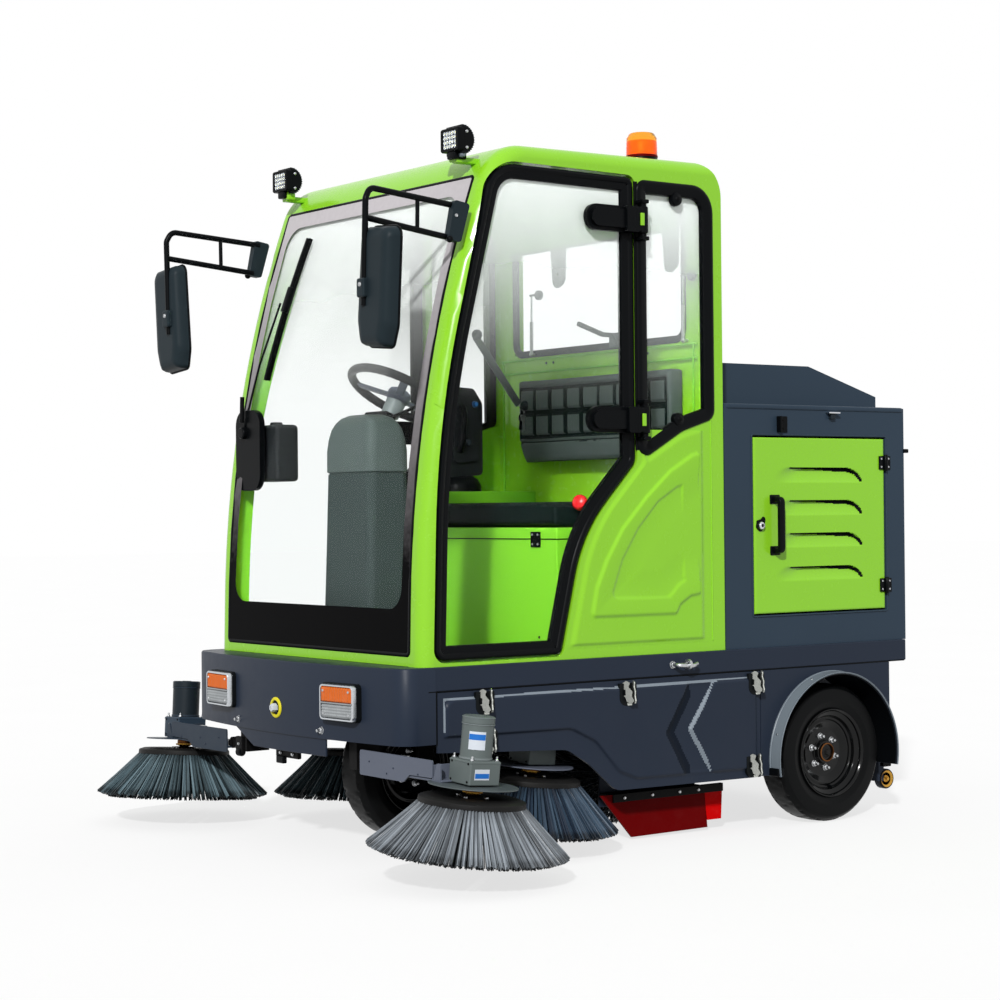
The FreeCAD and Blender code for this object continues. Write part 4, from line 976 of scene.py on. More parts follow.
def relief(y, z, height, base_x, back):
    """Closed panel across X: an outer grid raised by a height, one even back face and the walls between them."""
    rows, columns = y.shape
    front = np.stack([base_x + height, y, z], -1).reshape(-1, 3)
    count = rows * columns
    number = np.arange(count).reshape(rows, columns)
    rim = np.concatenate([number[0, :-1], number[:-1, -1], number[-1, :0:-1], number[:0:-1, 0]])
    behind = front[rim] * (0, 1, 1) + (float(back), 0, 0)
    far = np.arange(len(rim)) + count
    wall = np.stack([rim, far, np.roll(far, -1), np.roll(rim, -1)], 1)
    return np.concatenate([front, behind]), [grid_faces(rows, columns)[:, ::-1], wall, far[None, ::-1]]


def door_rear_y(z):
    """Y of the door outline's rear edge at a height."""
    flat = side_outline(DOOR_EDGE, 24)
    rear = flat[(flat[:, 0] > -990) & (flat[:, 1] < 1800) & (flat[:, 1] > 531)]
    order = np.argsort(rear[:, 1])
    return np.interp(z, rear[order, 1], rear[order, 0])


def quarter_low_z(y):
    """Z of the quarter pane's lower edge at a place along the side."""
    flat = side_outline(QUARTER_EDGE, 24)
    low = flat[flat[:, 1] < 1195]
    order = np.argsort(low[:, 0])
    return np.interp(y, low[order, 0], low[order, 1])


def inside_of(y, z, corners):
    """True for grid points inside a closed outline, by the even-odd count of its edges above each point."""
    corners = np.asarray(corners, float)
    odd = np.zeros(y.shape, bool)
    for (y0, z0), (y1, z1) in zip(corners, np.roll(corners, -1, 0)):
        spans = (y0 > y) != (y1 > y)
        odd ^= spans & (z < z0 + (y - y0) * (z1 - z0) / ((y1 - y0) or 1e-9))
    return odd


def build_side_pressing():
    """Pressed panel behind the door: a raised field along the door's curve, and on it two shallow steps
    that rise or fall sharply at a drawn line and die away evenly on its inner side."""
    across, up = np.meshgrid(np.linspace(0, 1, 110), np.linspace(0, 1, 150))
    z_top = 1128.0
    z = 543.0 + (z_top - 543.0) * up
    left = door_rear_y(z) + 13
    y = left + (-458.0 - left) * across
    top_gap = quarter_low_z(y) - 26 - z
    edge = np.minimum.reduce([(y - left) * 0.82 - 6, -476.0 - y, (z - 549) * 2.4, top_gap])
    height = 5.5 * gentle(edge / 16)
    arc = [(-500, 1070), (-527, 1063), (-607, 1019), (-693, 948), (-778, 863), (-835, 778), (-870, 705), (-888, 621),
           (-584, 620), (-569, 647), (-532, 668), (-500, 672)]
    inner = [(-560, 978), (-579, 975), (-651, 934), (-722, 862), (-779, 777), (-812, 690), (-808, 671), (-612, 668),
             (-575, 702), (-556, 712)]
    for line, lift, rise, fade in ((arc, 6.0, 8, 110), (inner, -3.6, 4, 80)):
        line = rounded_path(line, [0] + [14] * (len(line) - 2) + [0], 5)
        gap = distance_to_line(y, z, line) * inside_of(y, z, line)
        height += lift * gentle(gap / rise) * (1 - gentle((gap - rise) / fade))
    pressing = relief(y, z, height, 520.4, 518.5)
    groove = tube([(520.2, -447, 545), (520.2, -447, 1210)], 2.2, OUT, 8)
    pair("side_pressing", [(pressing, LIME)], "vehicle", "lime_paint", flat=False)
    pair("pillar_seam", [(groove, LIME)], "vehicle", "lime_paint", flat=False)


# Lower body


def build_lower_body():
    """Deck, bumper, rear box, hood, frame and bin with rounded edges."""
    for node, material, bevel, rounds, body, slot in (
            ("deck", SLATE, 3.0, 3, "vehicle", "slate_paint"),
            ("front_bumper", SLATE, 2.0, 2, "vehicle", "slate_paint"),
            ("rear_box", SLATE_BOX, 2.5, 3, "vehicle", "slate_paint"),
            ("hood", SLATE_BOX, 3.0, 3, "hood", "slate_paint"),
            ("chassis_frame", BLACK_STEEL, 1.5, 2, "vehicle", "black_steel"),
            ("hopper", SLATE, 1.5, 2, "hopper", "slate_paint"),
            ("roller_housing", SLATE, 1.0, 1, "vehicle", "slate_paint"),
            ("front_fork", BLACK_STEEL, 1.5, 2, "front_fork", "black_steel"),
            ("tie_down_eyes", ZINC, 1.0, 2, "vehicle", "zinc")):
        dressed(node, material, bevel, rounds, body)
    coat("battery_pack", BATTERY_CASE)


SKIRT_FRONT = -1392.0
SKIRT_REAR = -285.0
SKIRT_TOP = 452.0


def skirt_low(y):
    """Z of the skirt's lower edge: level at both ends with a long double bend over the middle brush."""
    line = rounded_path([(SKIRT_FRONT, 300), (-977, 279), (-905, 236), (-814, 158), (SKIRT_REAR, 153)],
                        [0, 60, 90, 60, 0], 10)
    return np.interp(y, line[:, 0], line[:, 1])


def chevron(z, line):
    """Y of a bent line in (Y, Z), drawn from its top down, at a height."""
    line = np.array(line, float)
    return np.interp(z, line[::-1, 1], line[::-1, 0])


def build_skirts():
    """Pressed side skirts: a raised field inside a rounded border, and two chevron folds between which the field sinks.
    The upper edge and the risers that face the front are painted pale grey as a highlight, and the slope behind the
    front chevron is painted dark as shade."""
    across, up = np.meshgrid(np.linspace(0, 1, 256), np.linspace(0, 1, 84))
    y = SKIRT_FRONT + (SKIRT_REAR - SKIRT_FRONT) * across
    low = skirt_low(y)
    z = low + (SKIRT_TOP - low) * up
    fold = rounded_path([(-1366, 334), (-966, 329), (-884, 290), (-803, 203), (-742, 180), (-300, 174)],
                        [0, 60, 50, 50, 40, 0], 10)
    floor_z = np.interp(y, fold[:, 0], fold[:, 1])
    top, front = SKIRT_TOP - 15 - z, y - SKIRT_FRONT - 18
    corner = 30 - np.hypot(np.clip(30 - top, 0, None), np.clip(30 - front, 0, None))
    inside = np.minimum.reduce([(z - floor_z) * 0.9, top, front, corner, SKIRT_REAR - 15 - y])
    height = 8.5 * gentle(inside / 9)
    wide = 24 * gentle((z - 150) / 60) * gentle((448 - z) / 60) + 3
    fore = chevron(z, ((-551, 448), (-646, 301), (-558, 150)))
    rear = chevron(z, ((-445, 458), (-556, 306), (-456, 150)))
    for side, lift, rise in ((fore, -8.0, wide), (rear, 8.0, 7.0)):
        height += lift * gentle((y - side) / rise) * gentle(inside / 12)
    points, faces = relief(y, z, height, 535.0, 528.0)
    quads = faces[0]
    ends = gentle((z - 150) / 90) * gentle((450 - z) / 90)
    # Painted highlight: the top lip, the front edge and the chevron risers that face the light are coloured pale grey.
    painted_highlight = (top > -1) & (top < 6.5) & (front > 0) & (y < -306) | (front > -1) & (front < 5) & (z > 350) & (top > 0)
    painted_highlight |= (y > rear - 2) & (y < rear + 2 + 9 * ends) & (inside > 6)
    painted_highlight |= (y > fore - 3) & (y < fore + 1) & (z < 300) & (inside > 6)
    # Painted shade: the slope behind the front chevron, which faces away from the light, is coloured dark.
    dark = (y >= fore + 1) & (y < fore + 1 + wide * 1.5) & (inside > 4) & ~painted_highlight
    painted_highlight = painted_highlight.reshape(-1)[quads].sum(1) >= 3
    dark = (dark.reshape(-1)[quads].sum(1) >= 3) & ~painted_highlight
    shapes = [((points, [quads[~painted_highlight & ~dark]] + faces[1:]), SLATE), ((points, [quads[painted_highlight]]), PAINTED_HIGHLIGHT_GREY),
              ((points, [quads[dark]]), FOLD_PAINTED_SHADE)]
    pair("skirt_panel", shapes, "vehicle", "slate_paint", stands_for=("side_skirts",), flat=False, turn_out=False)


def latch(y, z):
    """Toggle latch: a dark hub and foot, and two bent wings whose outline waves from the panel outwards."""
    wave = [(541, 25), (551, 31), (562, 27), (557, 15), (569, 3), (567, -10), (574, -22), (566, -31), (553, -24),
            (549, -12), (541, -9)]
    wings = []
    for side in (-1, 1):
        wing = plate(rounded_path(wave, 4, 4, True), -1.6, 1.6, "y")
        wing = turned((wing[0] - (541, 0, 0), wing[1]), UP, -24 * side)
        wings.append(moved(wing, (540, y + 17 * side, z)))
    foot = rounded_box((538, y - 7, z - 36), (549, y + 9, z - 28), 2.5)
    return joined(*wings, foot)


LATCHES = ((-1248, 425), (-773, 420), (-1239, 323), (-304, 423), (-315, 191))


def build_latches():
    """Five toggle latches on each skirt, in dark round-footed pads."""
    shapes = []
    for y, z in LATCHES:
        pad = rounded_path([(y + 27, z - 36), (y + 27, z + 24), (y - 31, z + 24), (y - 31, z - 36)],
                           [22, 3, 3, 22], 6, True)
        shapes += [(latch(y, z), LATCH_STEEL), (plate(pad, 534, 544.6, "x"), LAMP_HOUSING)]
        shapes += every(BLACK_TRIM, rod((543, y, z), (558, y, z), 7.5, 20, 2),
                        rounded_box((543, y - 20, z - 8), (549, y + 20, z + 8), 2.5))
    pair("skirt_latches", shapes, "vehicle", "zinc")


def build_fenders():
    """Rear wheel panels with an arched opening, the wide pale arch strip, and within it a dark lip painted black as the
    shade of the strip's inner side.
    """
    centre_y, centre_z, radius = -8.0, 196.0, 236.0
    turn = np.linspace(math.radians(-10.5), math.radians(190.5), 60)
    arch = np.column_stack([centre_y + radius * np.cos(turn), centre_z + radius * np.sin(turn)])
    outline = np.concatenate([[(237, 155), (237, 453), (-282, 453), (-282, 155)], arch[::-1]])
    panel = plate(outline, 524, 535, "x")
    line = np.column_stack([np.full(60, 520.0), arch])
    strip = carried(line, [(0, -122), (0, 55), (2.5, 57), (5, 55), (5, 20), (8, 17), (8, 10), (4, -122)], OUT)
    # Painted shade: a black lining covers the inner side of the arch strip, where shade falls.
    inner = carried(line, [(-3, -118), (-3, 52), (0, 54), (0, -118)], OUT)
    clips = []
    for degrees in (18, 62, 112, 162):
        a = math.radians(degrees)
        way = np.array([0.0, math.cos(a), math.sin(a)])
        place = (552, centre_y + (radius + 5) * way[1], centre_z + (radius + 5) * way[2])
        clips.append((pan_screw(place, way, 3.2), ZINC))
    toe = rounded_box((500, -252, 153), (572, -228, 176), 3)
    pair("wheel_arch", [(panel, SLATE), (strip, FENDER_GREY), (inner, BLACK_TRIM), (toe, BLACK_TRIM)] + clips,
         "vehicle", "slate_paint", bevel=1.0, stands_for=("rear_fenders",))


def bumper_y(x):
    """Y of the bowed bumper's front at a place across it."""
    return -1546.0 + x * x / 5200.0


def build_bumper_skin():
    """Outer sheet of the bumper from its foot to the deck's top, along the bow and round both corners."""
    half = 535.4
    across = np.linspace(-470, 470, 41)
    bow = np.column_stack([across, bumper_y(across) - 0.6])
    corner_y = float(bumper_y(half)) - 0.6
    ends = [np.array([[-half, -1398.0], [-half, corner_y]]), np.array([[half, corner_y], [half, -1398.0]])]
    corners = np.concatenate([ends[0], bow, ends[1]])
    radii = np.zeros(len(corners))
    radii[[1, -2]] = 58.0
    line = rounded_path(corners, radii, 12)
    line = line[np.concatenate([[True], np.linalg.norm(np.diff(line, axis=0), axis=1) > 0.5])]
    path = np.column_stack([line, np.full(len(line), 418.0)])
    section = [(-1.5, -96), (0.6, -96), (0.9, -94), (0.9, 94), (-2, 98.6), (-4, 98.6)]
    make("bumper_skin", [(carried(path, section, UP), SLATE)], "vehicle", "slate_paint", flat=False)


def build_bumper_details():
    """Bolts, the yellow-collared charging knob, the guard's fittings and the seam between bumper and side."""
    shapes = []
    for x in (-215, 215):
        y = bumper_y(x)
        shapes += every(ZINC, washer_bolt((x, y, 344), FORE, 9.5), rod((x, y, 344), (x, y - 17, 344), 4.2, 14, 1))
    knob_place = (0, -1546, 390)
    collar = lathe([(19, 0), (28, 0), (28, 3), (26, 5), (20, 5), (19, 3), (19, 0)], 40)
    well = lathe([(0, 0), (19.5, 0), (19.5, 2), (0, 2)], 32)
    shapes += placed([(collar, YELLOW), (well, BLACK_TRIM)], FORE, knob_place)
    shapes += [(hexagon(knob_place, FORE, 20, 17), BLANK_WHITE), (pan_screw((0, -1563, 390), FORE, 5), CHROME)]
    make("bumper_fittings", shapes, "vehicle", "zinc")
    seam = tube([(535.5, -1396, 322), (535.5, -1396, 454)], 1.8, OUT, 8)
    line = tube([(535.4, -1420, 455), (535.4, 300, 455)], 1.8, OUT, 8)
    pair("body_seams", every(BLACK_TRIM, seam, line), "vehicle", "black_plastic", flat=False)
    hook = rounded_path([(546, -609, 485), (563, -609, 485), (567, -560, 482), (556, -538, 486)], [0, 12, 16, 0], 6)
    bolts = every(ZINC, tube(hook, 5.5, UP, 12), washer_bolt((535, -609, 485), OUT, 10))
    pair("band_fittings", bolts, "vehicle", "zinc")
    caster = lathe([(0, -11), (10, -11), (12, -8), (12, 8), (10, 11), (0, 11)], 24)
    low = [(aimed(caster, OUT, (-262, -1508, 247)), BLACK_TRIM)]
    low += every(BLACK_STEEL, rounded_box((-280, -1514, 243), (-245, -1502, 290), 2.5),
                 rounded_box((-64, -1512, 252), (52, -1500, 277), 3))
    low += every(BLACK_TRIM, rounded_box((-50, -1520, 236), (-14, -1506, 256), 3))
    low += every(ZINC, *(washer_bolt((x, -1513, 264), FORE, 5) for x in (-36, 26)),
                 washer_bolt((-262, -1514, 270), FORE, 4))
    make("guard_fittings", low, "vehicle", "zinc")


# Rear box


def louvred(y, z):
    """Depth of the four pressed louvres and the mask of their slots, which are painted black as shade: each ends in
    quarter ellipses, falls at its upper slot and rises back evenly to its lower edge; the painted slot grows towards
    its rear end, where the louvre's end wall lies in shade."""
    depth = np.zeros_like(y)
    slot = np.zeros(y.shape, bool)
    for top, low in ((1026, 984), (932, 890), (838, 798), (742, 703)):
        down = np.clip((top - z) / (top - low), 0, 1)
        bulge = np.sqrt(1 - (1 - down) ** 2)
        from_left = y - (-158 - 54 * bulge)
        from_right = (74 + 67 * bulge) - y
        round_top = 1 - np.sqrt(1 - np.clip((y - 74) / 67, 0, 1) ** 2)
        gap = top - z - (top - low) * round_top
        inner = (z < top) & (z > low) & (from_left > 0) & (from_right > 0)
        fall = 15.0 * (1 - down) ** 0.75 * gentle(from_left / 90) * gentle(from_right / 6)
        depth = np.where(inner, fall, depth)
        thick = 3.0 + 8.0 * gentle((y + 60) / 130)
        slot |= inner & (np.minimum(gap, from_right * 0.8) < thick * np.sqrt(1 - down)) & (y > -150)
    return depth, slot


def build_box_doors():
    """Green doors with pressed louvres, bar handle, lock, and two hinges each."""
    across, up = np.meshgrid(np.linspace(-289, 236, 124), np.linspace(612, 1112, 208))
    depth, slot = louvred(across, up)
    edge = np.minimum.reduce([across + 289, 236 - across, up - 612, 1112 - up])
    lip = -2.0 * (1 - gentle(edge / 3))
    points, faces = relief(across, up, lip - depth, 523.0, 504.0)
    quads = faces[0]
    # Painted shade: the slot faces take black trim in place of the shade inside the louvres.
    dark = slot.reshape(-1)[quads].sum(1) >= 2
    handle_path = rounded_path([(522, -210, 790), (551, -210, 790), (551, -210, 936), (522, -210, 936)],
                               [0, 9, 9, 0], 6)
    shapes = [((points, [quads[~dark]] + faces[1:]), LIME), ((points, [quads[dark]]), BLACK_TRIM)]
    shapes += every(BLACK_TRIM, carried(handle_path, bar_section(15, 20, 4), AFT),
                    *(rounded_box((522, -229, z - 13), (527, -191, z + 13), 2.5) for z in (790, 936)))
    lock = rounded_path([(-283, 856), (-272, 846), (-262, 846), (-252, 858), (-248, 880), (-254, 890), (-264, 880),
                         (-280, 876)], 5, 5, True)
    barrel = lathe([(0, 0), (11, 0), (11, 7), (9, 9), (5, 9), (4, 7), (0, 7)], 28)
    shapes += [(plate(lock, 522, 526, "x"), BLACK_TRIM), (aimed(barrel, OUT, (525, -266, 862)), CHROME),
               (rounded_box((531, -268, 857), (535, -265, 867), 0.8), BLACK_STEEL)]
    for z in (1042, 680):
        shapes += every(BLACK_TRIM, rounded_box((523, 213, z - 20), (527.5, 236, z + 20), 1.5),
                        rod((530, 237, z - 24), (530, 237, z + 24), 6, 20, 1))
        shapes += every(ZINC, *(pan_screw((527.5, 222, z + side), OUT, 3.4) for side in (-12, 12)))
    pair("box_door", shapes, "box_door_SIDE", "lime_paint", stands_for=("box_door_SIDE",), turn_out=False, flat=False)


def build_box_fittings():
    """Fixed hinge leaves, the rolled top edge, corner folds, catches and the rear latch of the box."""
    shapes = []
    for z in (1042, 680):
        shapes += every(BLACK_TRIM, rounded_box((523, 238, z - 20), (527.5, 260, z + 20), 1.5))
        shapes += every(ZINC, *(pan_screw((527.5, 251, z + side), OUT, 3.4) for side in (-12, 12)))
    bracket = joined(rounded_box((523, -199, 1127), (527, -159, 1173), 1.5),
                     rounded_box((523, -199, 1127), (541, -192, 1173), 1.5))
    shapes += [(bracket, BLACK_TRIM)]
    shapes += every(BLACK_STEEL, *(pan_screw((527, -176, z), OUT, 3.2) for z in (1138, 1162)))
    shapes += [(rounded_box((523, -4, 1184), (541, 40, 1188), 1), CHROME),
               (rounded_box((523, 8, 1168), (535, 26, 1186), 2), MOTOR_DARK),
               (rounded_box((506, 318, 1072), (530, 336, 1084), 3), BLACK_TRIM)]
    frame_line = rounded_path([(523.6, -297, 604), (523.6, 244, 604), (523.6, 244, 1120), (523.6, -297, 1120)],
                              6, 5, True)
    shapes += every(SLATE_BOX, tube(frame_line, 2.4, OUT, 8, True))
    pair("box_fittings", shapes, "vehicle", "black_plastic")
    rim = rounded_path([(-520, -396, 1199), (520, -396, 1199), (520, 319, 1199), (-520, 319, 1199)], 14, 6, True)
    make("box_top_roll", every(SLATE_BOX, carried(rim, bar_section(13, 15, 5), UP, True)), "vehicle", "slate_paint")
    back = every(SLATE_BOX, rounded_box((-200, 319, 760), (200, 324, 1120), 2))
    back += every(BLACK_TRIM, *(rounded_box((-170, 322, z), (170, 326, z + 12), 3) for z in range(800, 1090, 36)))
    back += every(BLACK_STEEL, joined(rounded_box((380, 321, 1008), (420, 333, 1020), 3),
                                      rod((400, 321, 1014), (400, 345, 1014), 6)))
    make("box_back_grille", back, "vehicle", "slate_paint", bevel=0.6)


# Wheels

TYRE_RADIUS = 200.0
BEAD_RADIUS = 121.0
WHEELS = (("front", "front_wheel", 0.0, -1120.0, 1), ("rear_left", "rear_wheel_left", 480.0, 0.0, 1),
          ("rear_right", "rear_wheel_right", -480.0, 0.0, -1))


def tyre_surface():
    """Tyre about Z: a rounded section carried round the wheel, with four grooves and cross cuts sunk
    into the tread, ribs along the shoulder and rings on the sidewall."""
    half = rounded_path([(122, 47), (150, 54), (186, 52), (199, 36), (200, 0)], [0, 22, 16, 14, 0], 8)
    half = finer(half, 2, False)
    section = np.concatenate([half, half[-2::-1] * (1, -1)])
    steps = 200
    turn = round_turn(steps)[:, None]
    radius = np.broadcast_to(section[None, :, 0], (steps, len(section))).copy()
    width = np.broadcast_to(section[None, :, 1], radius.shape).copy()
    tread = gentle((radius - 190) / 8)
    groove = np.zeros_like(radius)
    for centre in (-27, -9, 9, 27):
        groove = np.maximum(groove, gentle(1.6 * (1 - np.abs(width - centre) / 3.2)))
    wave = (turn * 27 / math.pi + np.abs(width) / 60) % 1.0
    cuts = gentle(1.6 * (1 - np.abs(wave - 0.5) / 0.09)) * ((np.abs(width) > 30) | (np.abs(width) < 7))
    radius -= tread * 5.5 * np.maximum(groove, 0.7 * cuts)
    swell = np.zeros_like(radius)
    for centre, wide, tall in ((132, 2.5, 1.2), (141, 1.6, 1.0), (170, 1.8, 1.0), (176, 1.5, 0.9), (184, 1.4, 0.8)):
        swell += tall * gentle(1 - np.abs(section[None, :, 0] - centre) / wide)
    width += np.sign(width) * swell * (np.abs(width) > 40)
    outer = np.stack([radius * np.cos(turn), radius * np.sin(turn), width], -1)
    seat = np.full((steps, 2), BEAD_RADIUS)
    bead = np.stack([seat * np.cos(turn), seat * np.sin(turn), np.broadcast_to([[-46.0, 46.0]], (steps, 2))], -1)
    points = np.concatenate([outer, bead], 1)
    return points.reshape(-1, 3), [grid_faces(steps, points.shape[1], True, True)]


def rim_surface():
    """Steel rim: rolled edges, a drop centre, a deep dish to the bolt face and the hub's ring."""
    front = rounded_path([(16, 28), (33, 28), (34, 14), (70, 13), (90, 26), (102, 20), (107, 37), (120, 43),
                          (128, 52), (126, 56), (120, 49), (119, 40)], [0, 2, 3, 6, 7, 6, 6, 5, 3, 2, 2, 0], 6)
    back = np.array([(119, -49), (126, -54), (122, -55), (112, -46), (105, -30), (100, 4), (60, 4), (34, 4),
                     (34, -28), (16, -28), (16, 28)], float)
    return lathe(np.concatenate([front, back]), 72)


def rim_parts():
    """Rim with six zinc bolts, the rusty hub ring, the axle nut and the valve."""
    shapes = [(rim_surface(), RIM_BLACK)]
    for number in range(6):
        a = math.radians(60 * number + 12)
        place = (47 * math.cos(a), 47 * math.sin(a), 13)
        shapes += every(ZINC, washer_bolt(place, UP, 9.5), rod((*place[:2], 15), (*place[:2], 31), 4.2, 14, 1))
    ring = lathe([(24.5, 28), (27, 31), (27, 33), (24, 34), (23, 31), (24.5, 28)], 48)
    cap = lathe([(0, 33), (6, 33), (8, 30), (15, 29), (17, 27), (17, 24), (0, 24)], 32)
    nut = hexagon((0, 0, 29), UP, 16, 9)
    valve = rod((98, 14, 22), (101, 15, 40), 3.2, 12, 0.8)
    return shapes + [(ring, COPPER), (cap, DISC_BROWN), (nut, DISC_BROWN), (valve, BLACK_TRIM)]


def build_wheels():
    """Three wheels, each turned so that its own Z points outwards."""
    tyre, rims = tyre_surface(), rim_parts()
    for name, body, x, y, way in WHEELS:
        place = (x, y, TYRE_RADIUS)
        for word, shapes, slot, node in (("_tread", every(TYRE_RUBBER, tyre), "tyre", "_tyre"),
                                         ("_dish", rims, "black_steel", "_rim")):
            make(name + word, placed(shapes, (way, 0, 0), place), body, slot, stands_for=(name + node,), flat=False)
    nuts = every(ZINC, *(washer_bolt((side * 84, -1120, TYRE_RADIUS), (side, 0, 0), 15) for side in (-1, 1)))
    make("fork_nuts", nuts, "front_fork", "zinc")


# Brushes

FRONT_HUB = (735.0, -1430.0, 214.0)
MID_HUB = (424.0, -1015.0, 206.0)
SIDES = (("left", 1), ("right", -1))
ROLLER_PLACE = (0, -565, 166)


def hub_of(hub, side):
    """Place and leaning axis of a brush on one side, one for left and minus one for right."""
    return (0.05 * side, 0.08, 1.0), (hub[0] * side, *hub[1:])


def bristle(name, dark, pale, dust, tip=0.25):
    """Stiff strands: each strand's own shade, with painted shade that darkens them towards the root under the disc and
    in a band round the foot, from which some pale strands stand out."""
    material, tree, shader = start_material(name)
    place = object_place(tree)
    shade = add_node(tree, "Attribute", {"attribute_name": "shade"}).outputs["Fac"]
    along = add_node(tree, "Attribute", {"attribute_name": "along"}).outputs["Fac"]
    colour = blend_colour(tree, shade, dark, pale)
    # Painted shade: strands darken towards their root under the disc.
    root = spread(tree, along, 0.0, 0.25, 0.5, 1.0)
    # Painted shade: a dark band round the brush's foot, where the strands face down; the paler strands keep more light.
    foot_shade = spread(tree, along, 0.84, 0.93, 0.0, 1.0)
    often = spread(tree, shade, 0.60, 0.85, 1.0 - tip, 0.15)
    ends = sum_of(tree, 1.0, sum_of(tree, foot_shade, often, "MULTIPLY"), "SUBTRACT")
    toned = add_node(tree, "HueSaturation", {}, {"Color": colour,
                                                 "Value": sum_of(tree, root, ends, "MULTIPLY")}).outputs[0]
    mask = add_node(tree, "Group", {"node_tree": DUST}, {"Amount": dust, "Top": 0.12}).outputs["Mask"]
    tree.links.new(blend_colour(tree, mask, toned, ROAD_DUST), shader.inputs["Base Color"])
    tree.links.new(spread(tree, noise(tree, place, 90.0, 3.0), 0.3, 0.7, 0.3, 0.5), shader.inputs["Roughness"])
    shader.inputs["Specular IOR Level"].default_value = 0.3
    bumped(tree, shader, noise(tree, place, 700.0, 2.0), 0.3, 0.0004)
    return material


STRAND = bristle("grey_bristle", linear(20, 24, 27), linear(160, 168, 176), 0.03, 0.45)
DARK_STRAND = bristle("dark_teal_bristle", linear(22, 33, 36), linear(104, 125, 133), 0.04)
SHADED_STRAND = bristle("shaded_bristle", linear(6, 17, 36), linear(68, 88, 106), 0.02)
ROLLER_STRAND = bristle("roller_bristle", linear(30, 33, 36), linear(96, 104, 110), 0.2)


def strands(start, stop, width, sway, shades=None):
    """Bent strands from start points to stop points: a short three-sided rod carried along each, sagging by
    sway times the squared sine of the way along, with values for the shade and for the way along."""
    count, sides, knots = len(start), 3, 3
    run = stop - start
    long = np.linalg.norm(run, axis=1, keepdims=True)
    way = run / long
    side = unit(np.cross(way, (0.3, 0.2, 0.93)))
    over = np.cross(way, side)
    share = np.linspace(0, 1, knots)[None, :, None]
    lean = RNG.normal(0, sway, (count, 1, 1)) * np.sin(share * math.pi / 2) ** 2
    line = start[:, None] + run[:, None] * share + side[:, None] * lean
    turn = round_turn(sides)[None, None, :, None] + RNG.uniform(0, 3, (count, 1, 1, 1))
    thick = (width * (1 - 0.25 * share))[..., None]
    points = line[:, :, None] + thick * (np.cos(turn) * side[:, None, None] + np.sin(turn) * over[:, None, None])
    one = grid_faces(knots, sides, False, True)[:, ::-1]
    each = knots * sides
    faces = (one[None] + np.arange(count)[:, None, None] * each).reshape(-1, 4)
    tips = (np.arange(sides)[None] + np.arange(count)[:, None] * each + (knots - 1) * sides)
    foot = (np.arange(sides)[None, ::-1] + np.arange(count)[:, None] * each)
    shades = RNG.beta(2.0, 2.2, count) if shades is None else shades
    ways = np.broadcast_to(share[0], (knots, sides)).ravel()
    return (points.reshape(-1, 3), [faces, tips, foot]), (np.repeat(shades, each), np.tile(ways, count))


def build_strands(name, surface, values, material, body):
    """Object of strands with its shade and along values stored on the points."""
    mesh = mesh_of(name, [(surface, material)])
    for label, row in zip(("shade", "along"), values):
        layer = mesh.attributes.new(label, "FLOAT", "POINT")
        layer.data.foreach_set("value", row.astype(np.float32))
    finish_object(mesh, name, body, (), STRAND_SMOOTH_ANGLE)


def brush_strands(radius):
    """Start and stop points of a side brush, and each strand's shade, a random tone per tuft with painted shade at each
    tuft's edges and over
    the inner ring: flat tufts in two rings of holes, fanned outwards with gaps between them, the strands' ends spread
    through a band round the foot."""
    tufts, each = 104, 13
    starts, stops, shades = [], [], []
    for ring, (root, low, high) in enumerate(((120.0, radius - 26, radius - 1), (98.0, radius - 60, radius - 30))):
        count = tufts * each
        middle = np.repeat(np.arange(tufts) + 0.5 * ring, each) * 2 * math.pi / tufts
        place = RNG.uniform(-1, 1, count)
        wander = np.repeat(RNG.normal(0, 0.006, tufts), each)
        inner = middle + place * 0.016
        outer = middle + place * 0.019 + wander + RNG.normal(0, 0.002, count)
        r0 = root + RNG.uniform(-4, 4, count) + 8
        r1 = low + (high - low) * RNG.beta(2.6, 1.2, count) - 3.0 * place ** 2
        z1 = -146 + 14 * np.clip((r1 - (radius - 34)) / 34, 0, 1) + RNG.uniform(0, 5, count)
        starts.append(np.stack([r0 * np.cos(inner), r0 * np.sin(inner), np.full(count, -17.0)], 1))
        stops.append(np.stack([r1 * np.cos(outer), r1 * np.sin(outer), z1], 1))
        tone = np.repeat(RNG.uniform(0.25, 0.95, tufts), each)
        # Painted shade: strands at a tuft's edges are darker, and the inner ring, which lies behind the outer one, is
        # darkened to three tenths.
        shades.append(np.clip(tone - 0.35 * place ** 4 + RNG.normal(0, 0.10, count), 0, 1) * (1.0 - 0.7 * ring))
    return np.concatenate(starts), np.concatenate(stops), np.concatenate(shades)


def brush_head():
    """Disc of a side brush with its rolled rim, hub boss and the ring of bolts, about Z."""
    disc = rounded_path([(12.5, -2), (40, -2), (46, 0), (118, 0), (133, -5), (134, -18), (128, -24), (60, -24),
                         (12.5, -24)], [0, 2, 2, 12, 4, 3, 3, 3, 0], 5)
    shapes = [(lathe(np.concatenate([disc, disc[:1]]), 80), DISC_BROWN)]
    boss = lathe([(12.5, -2), (30, -2), (30, 1.5), (27.5, 4), (12.5, 4), (12.5, -2)], 32)
    turn = [math.radians(90 * number + 30) for number in range(4)]
    bolts = [washer_bolt((38 * math.cos(a), 38 * math.sin(a), -1), UP, 5.5) for a in turn]
    return shapes + [(boss, BLACK_STEEL)] + every(ZINC, *bolts)


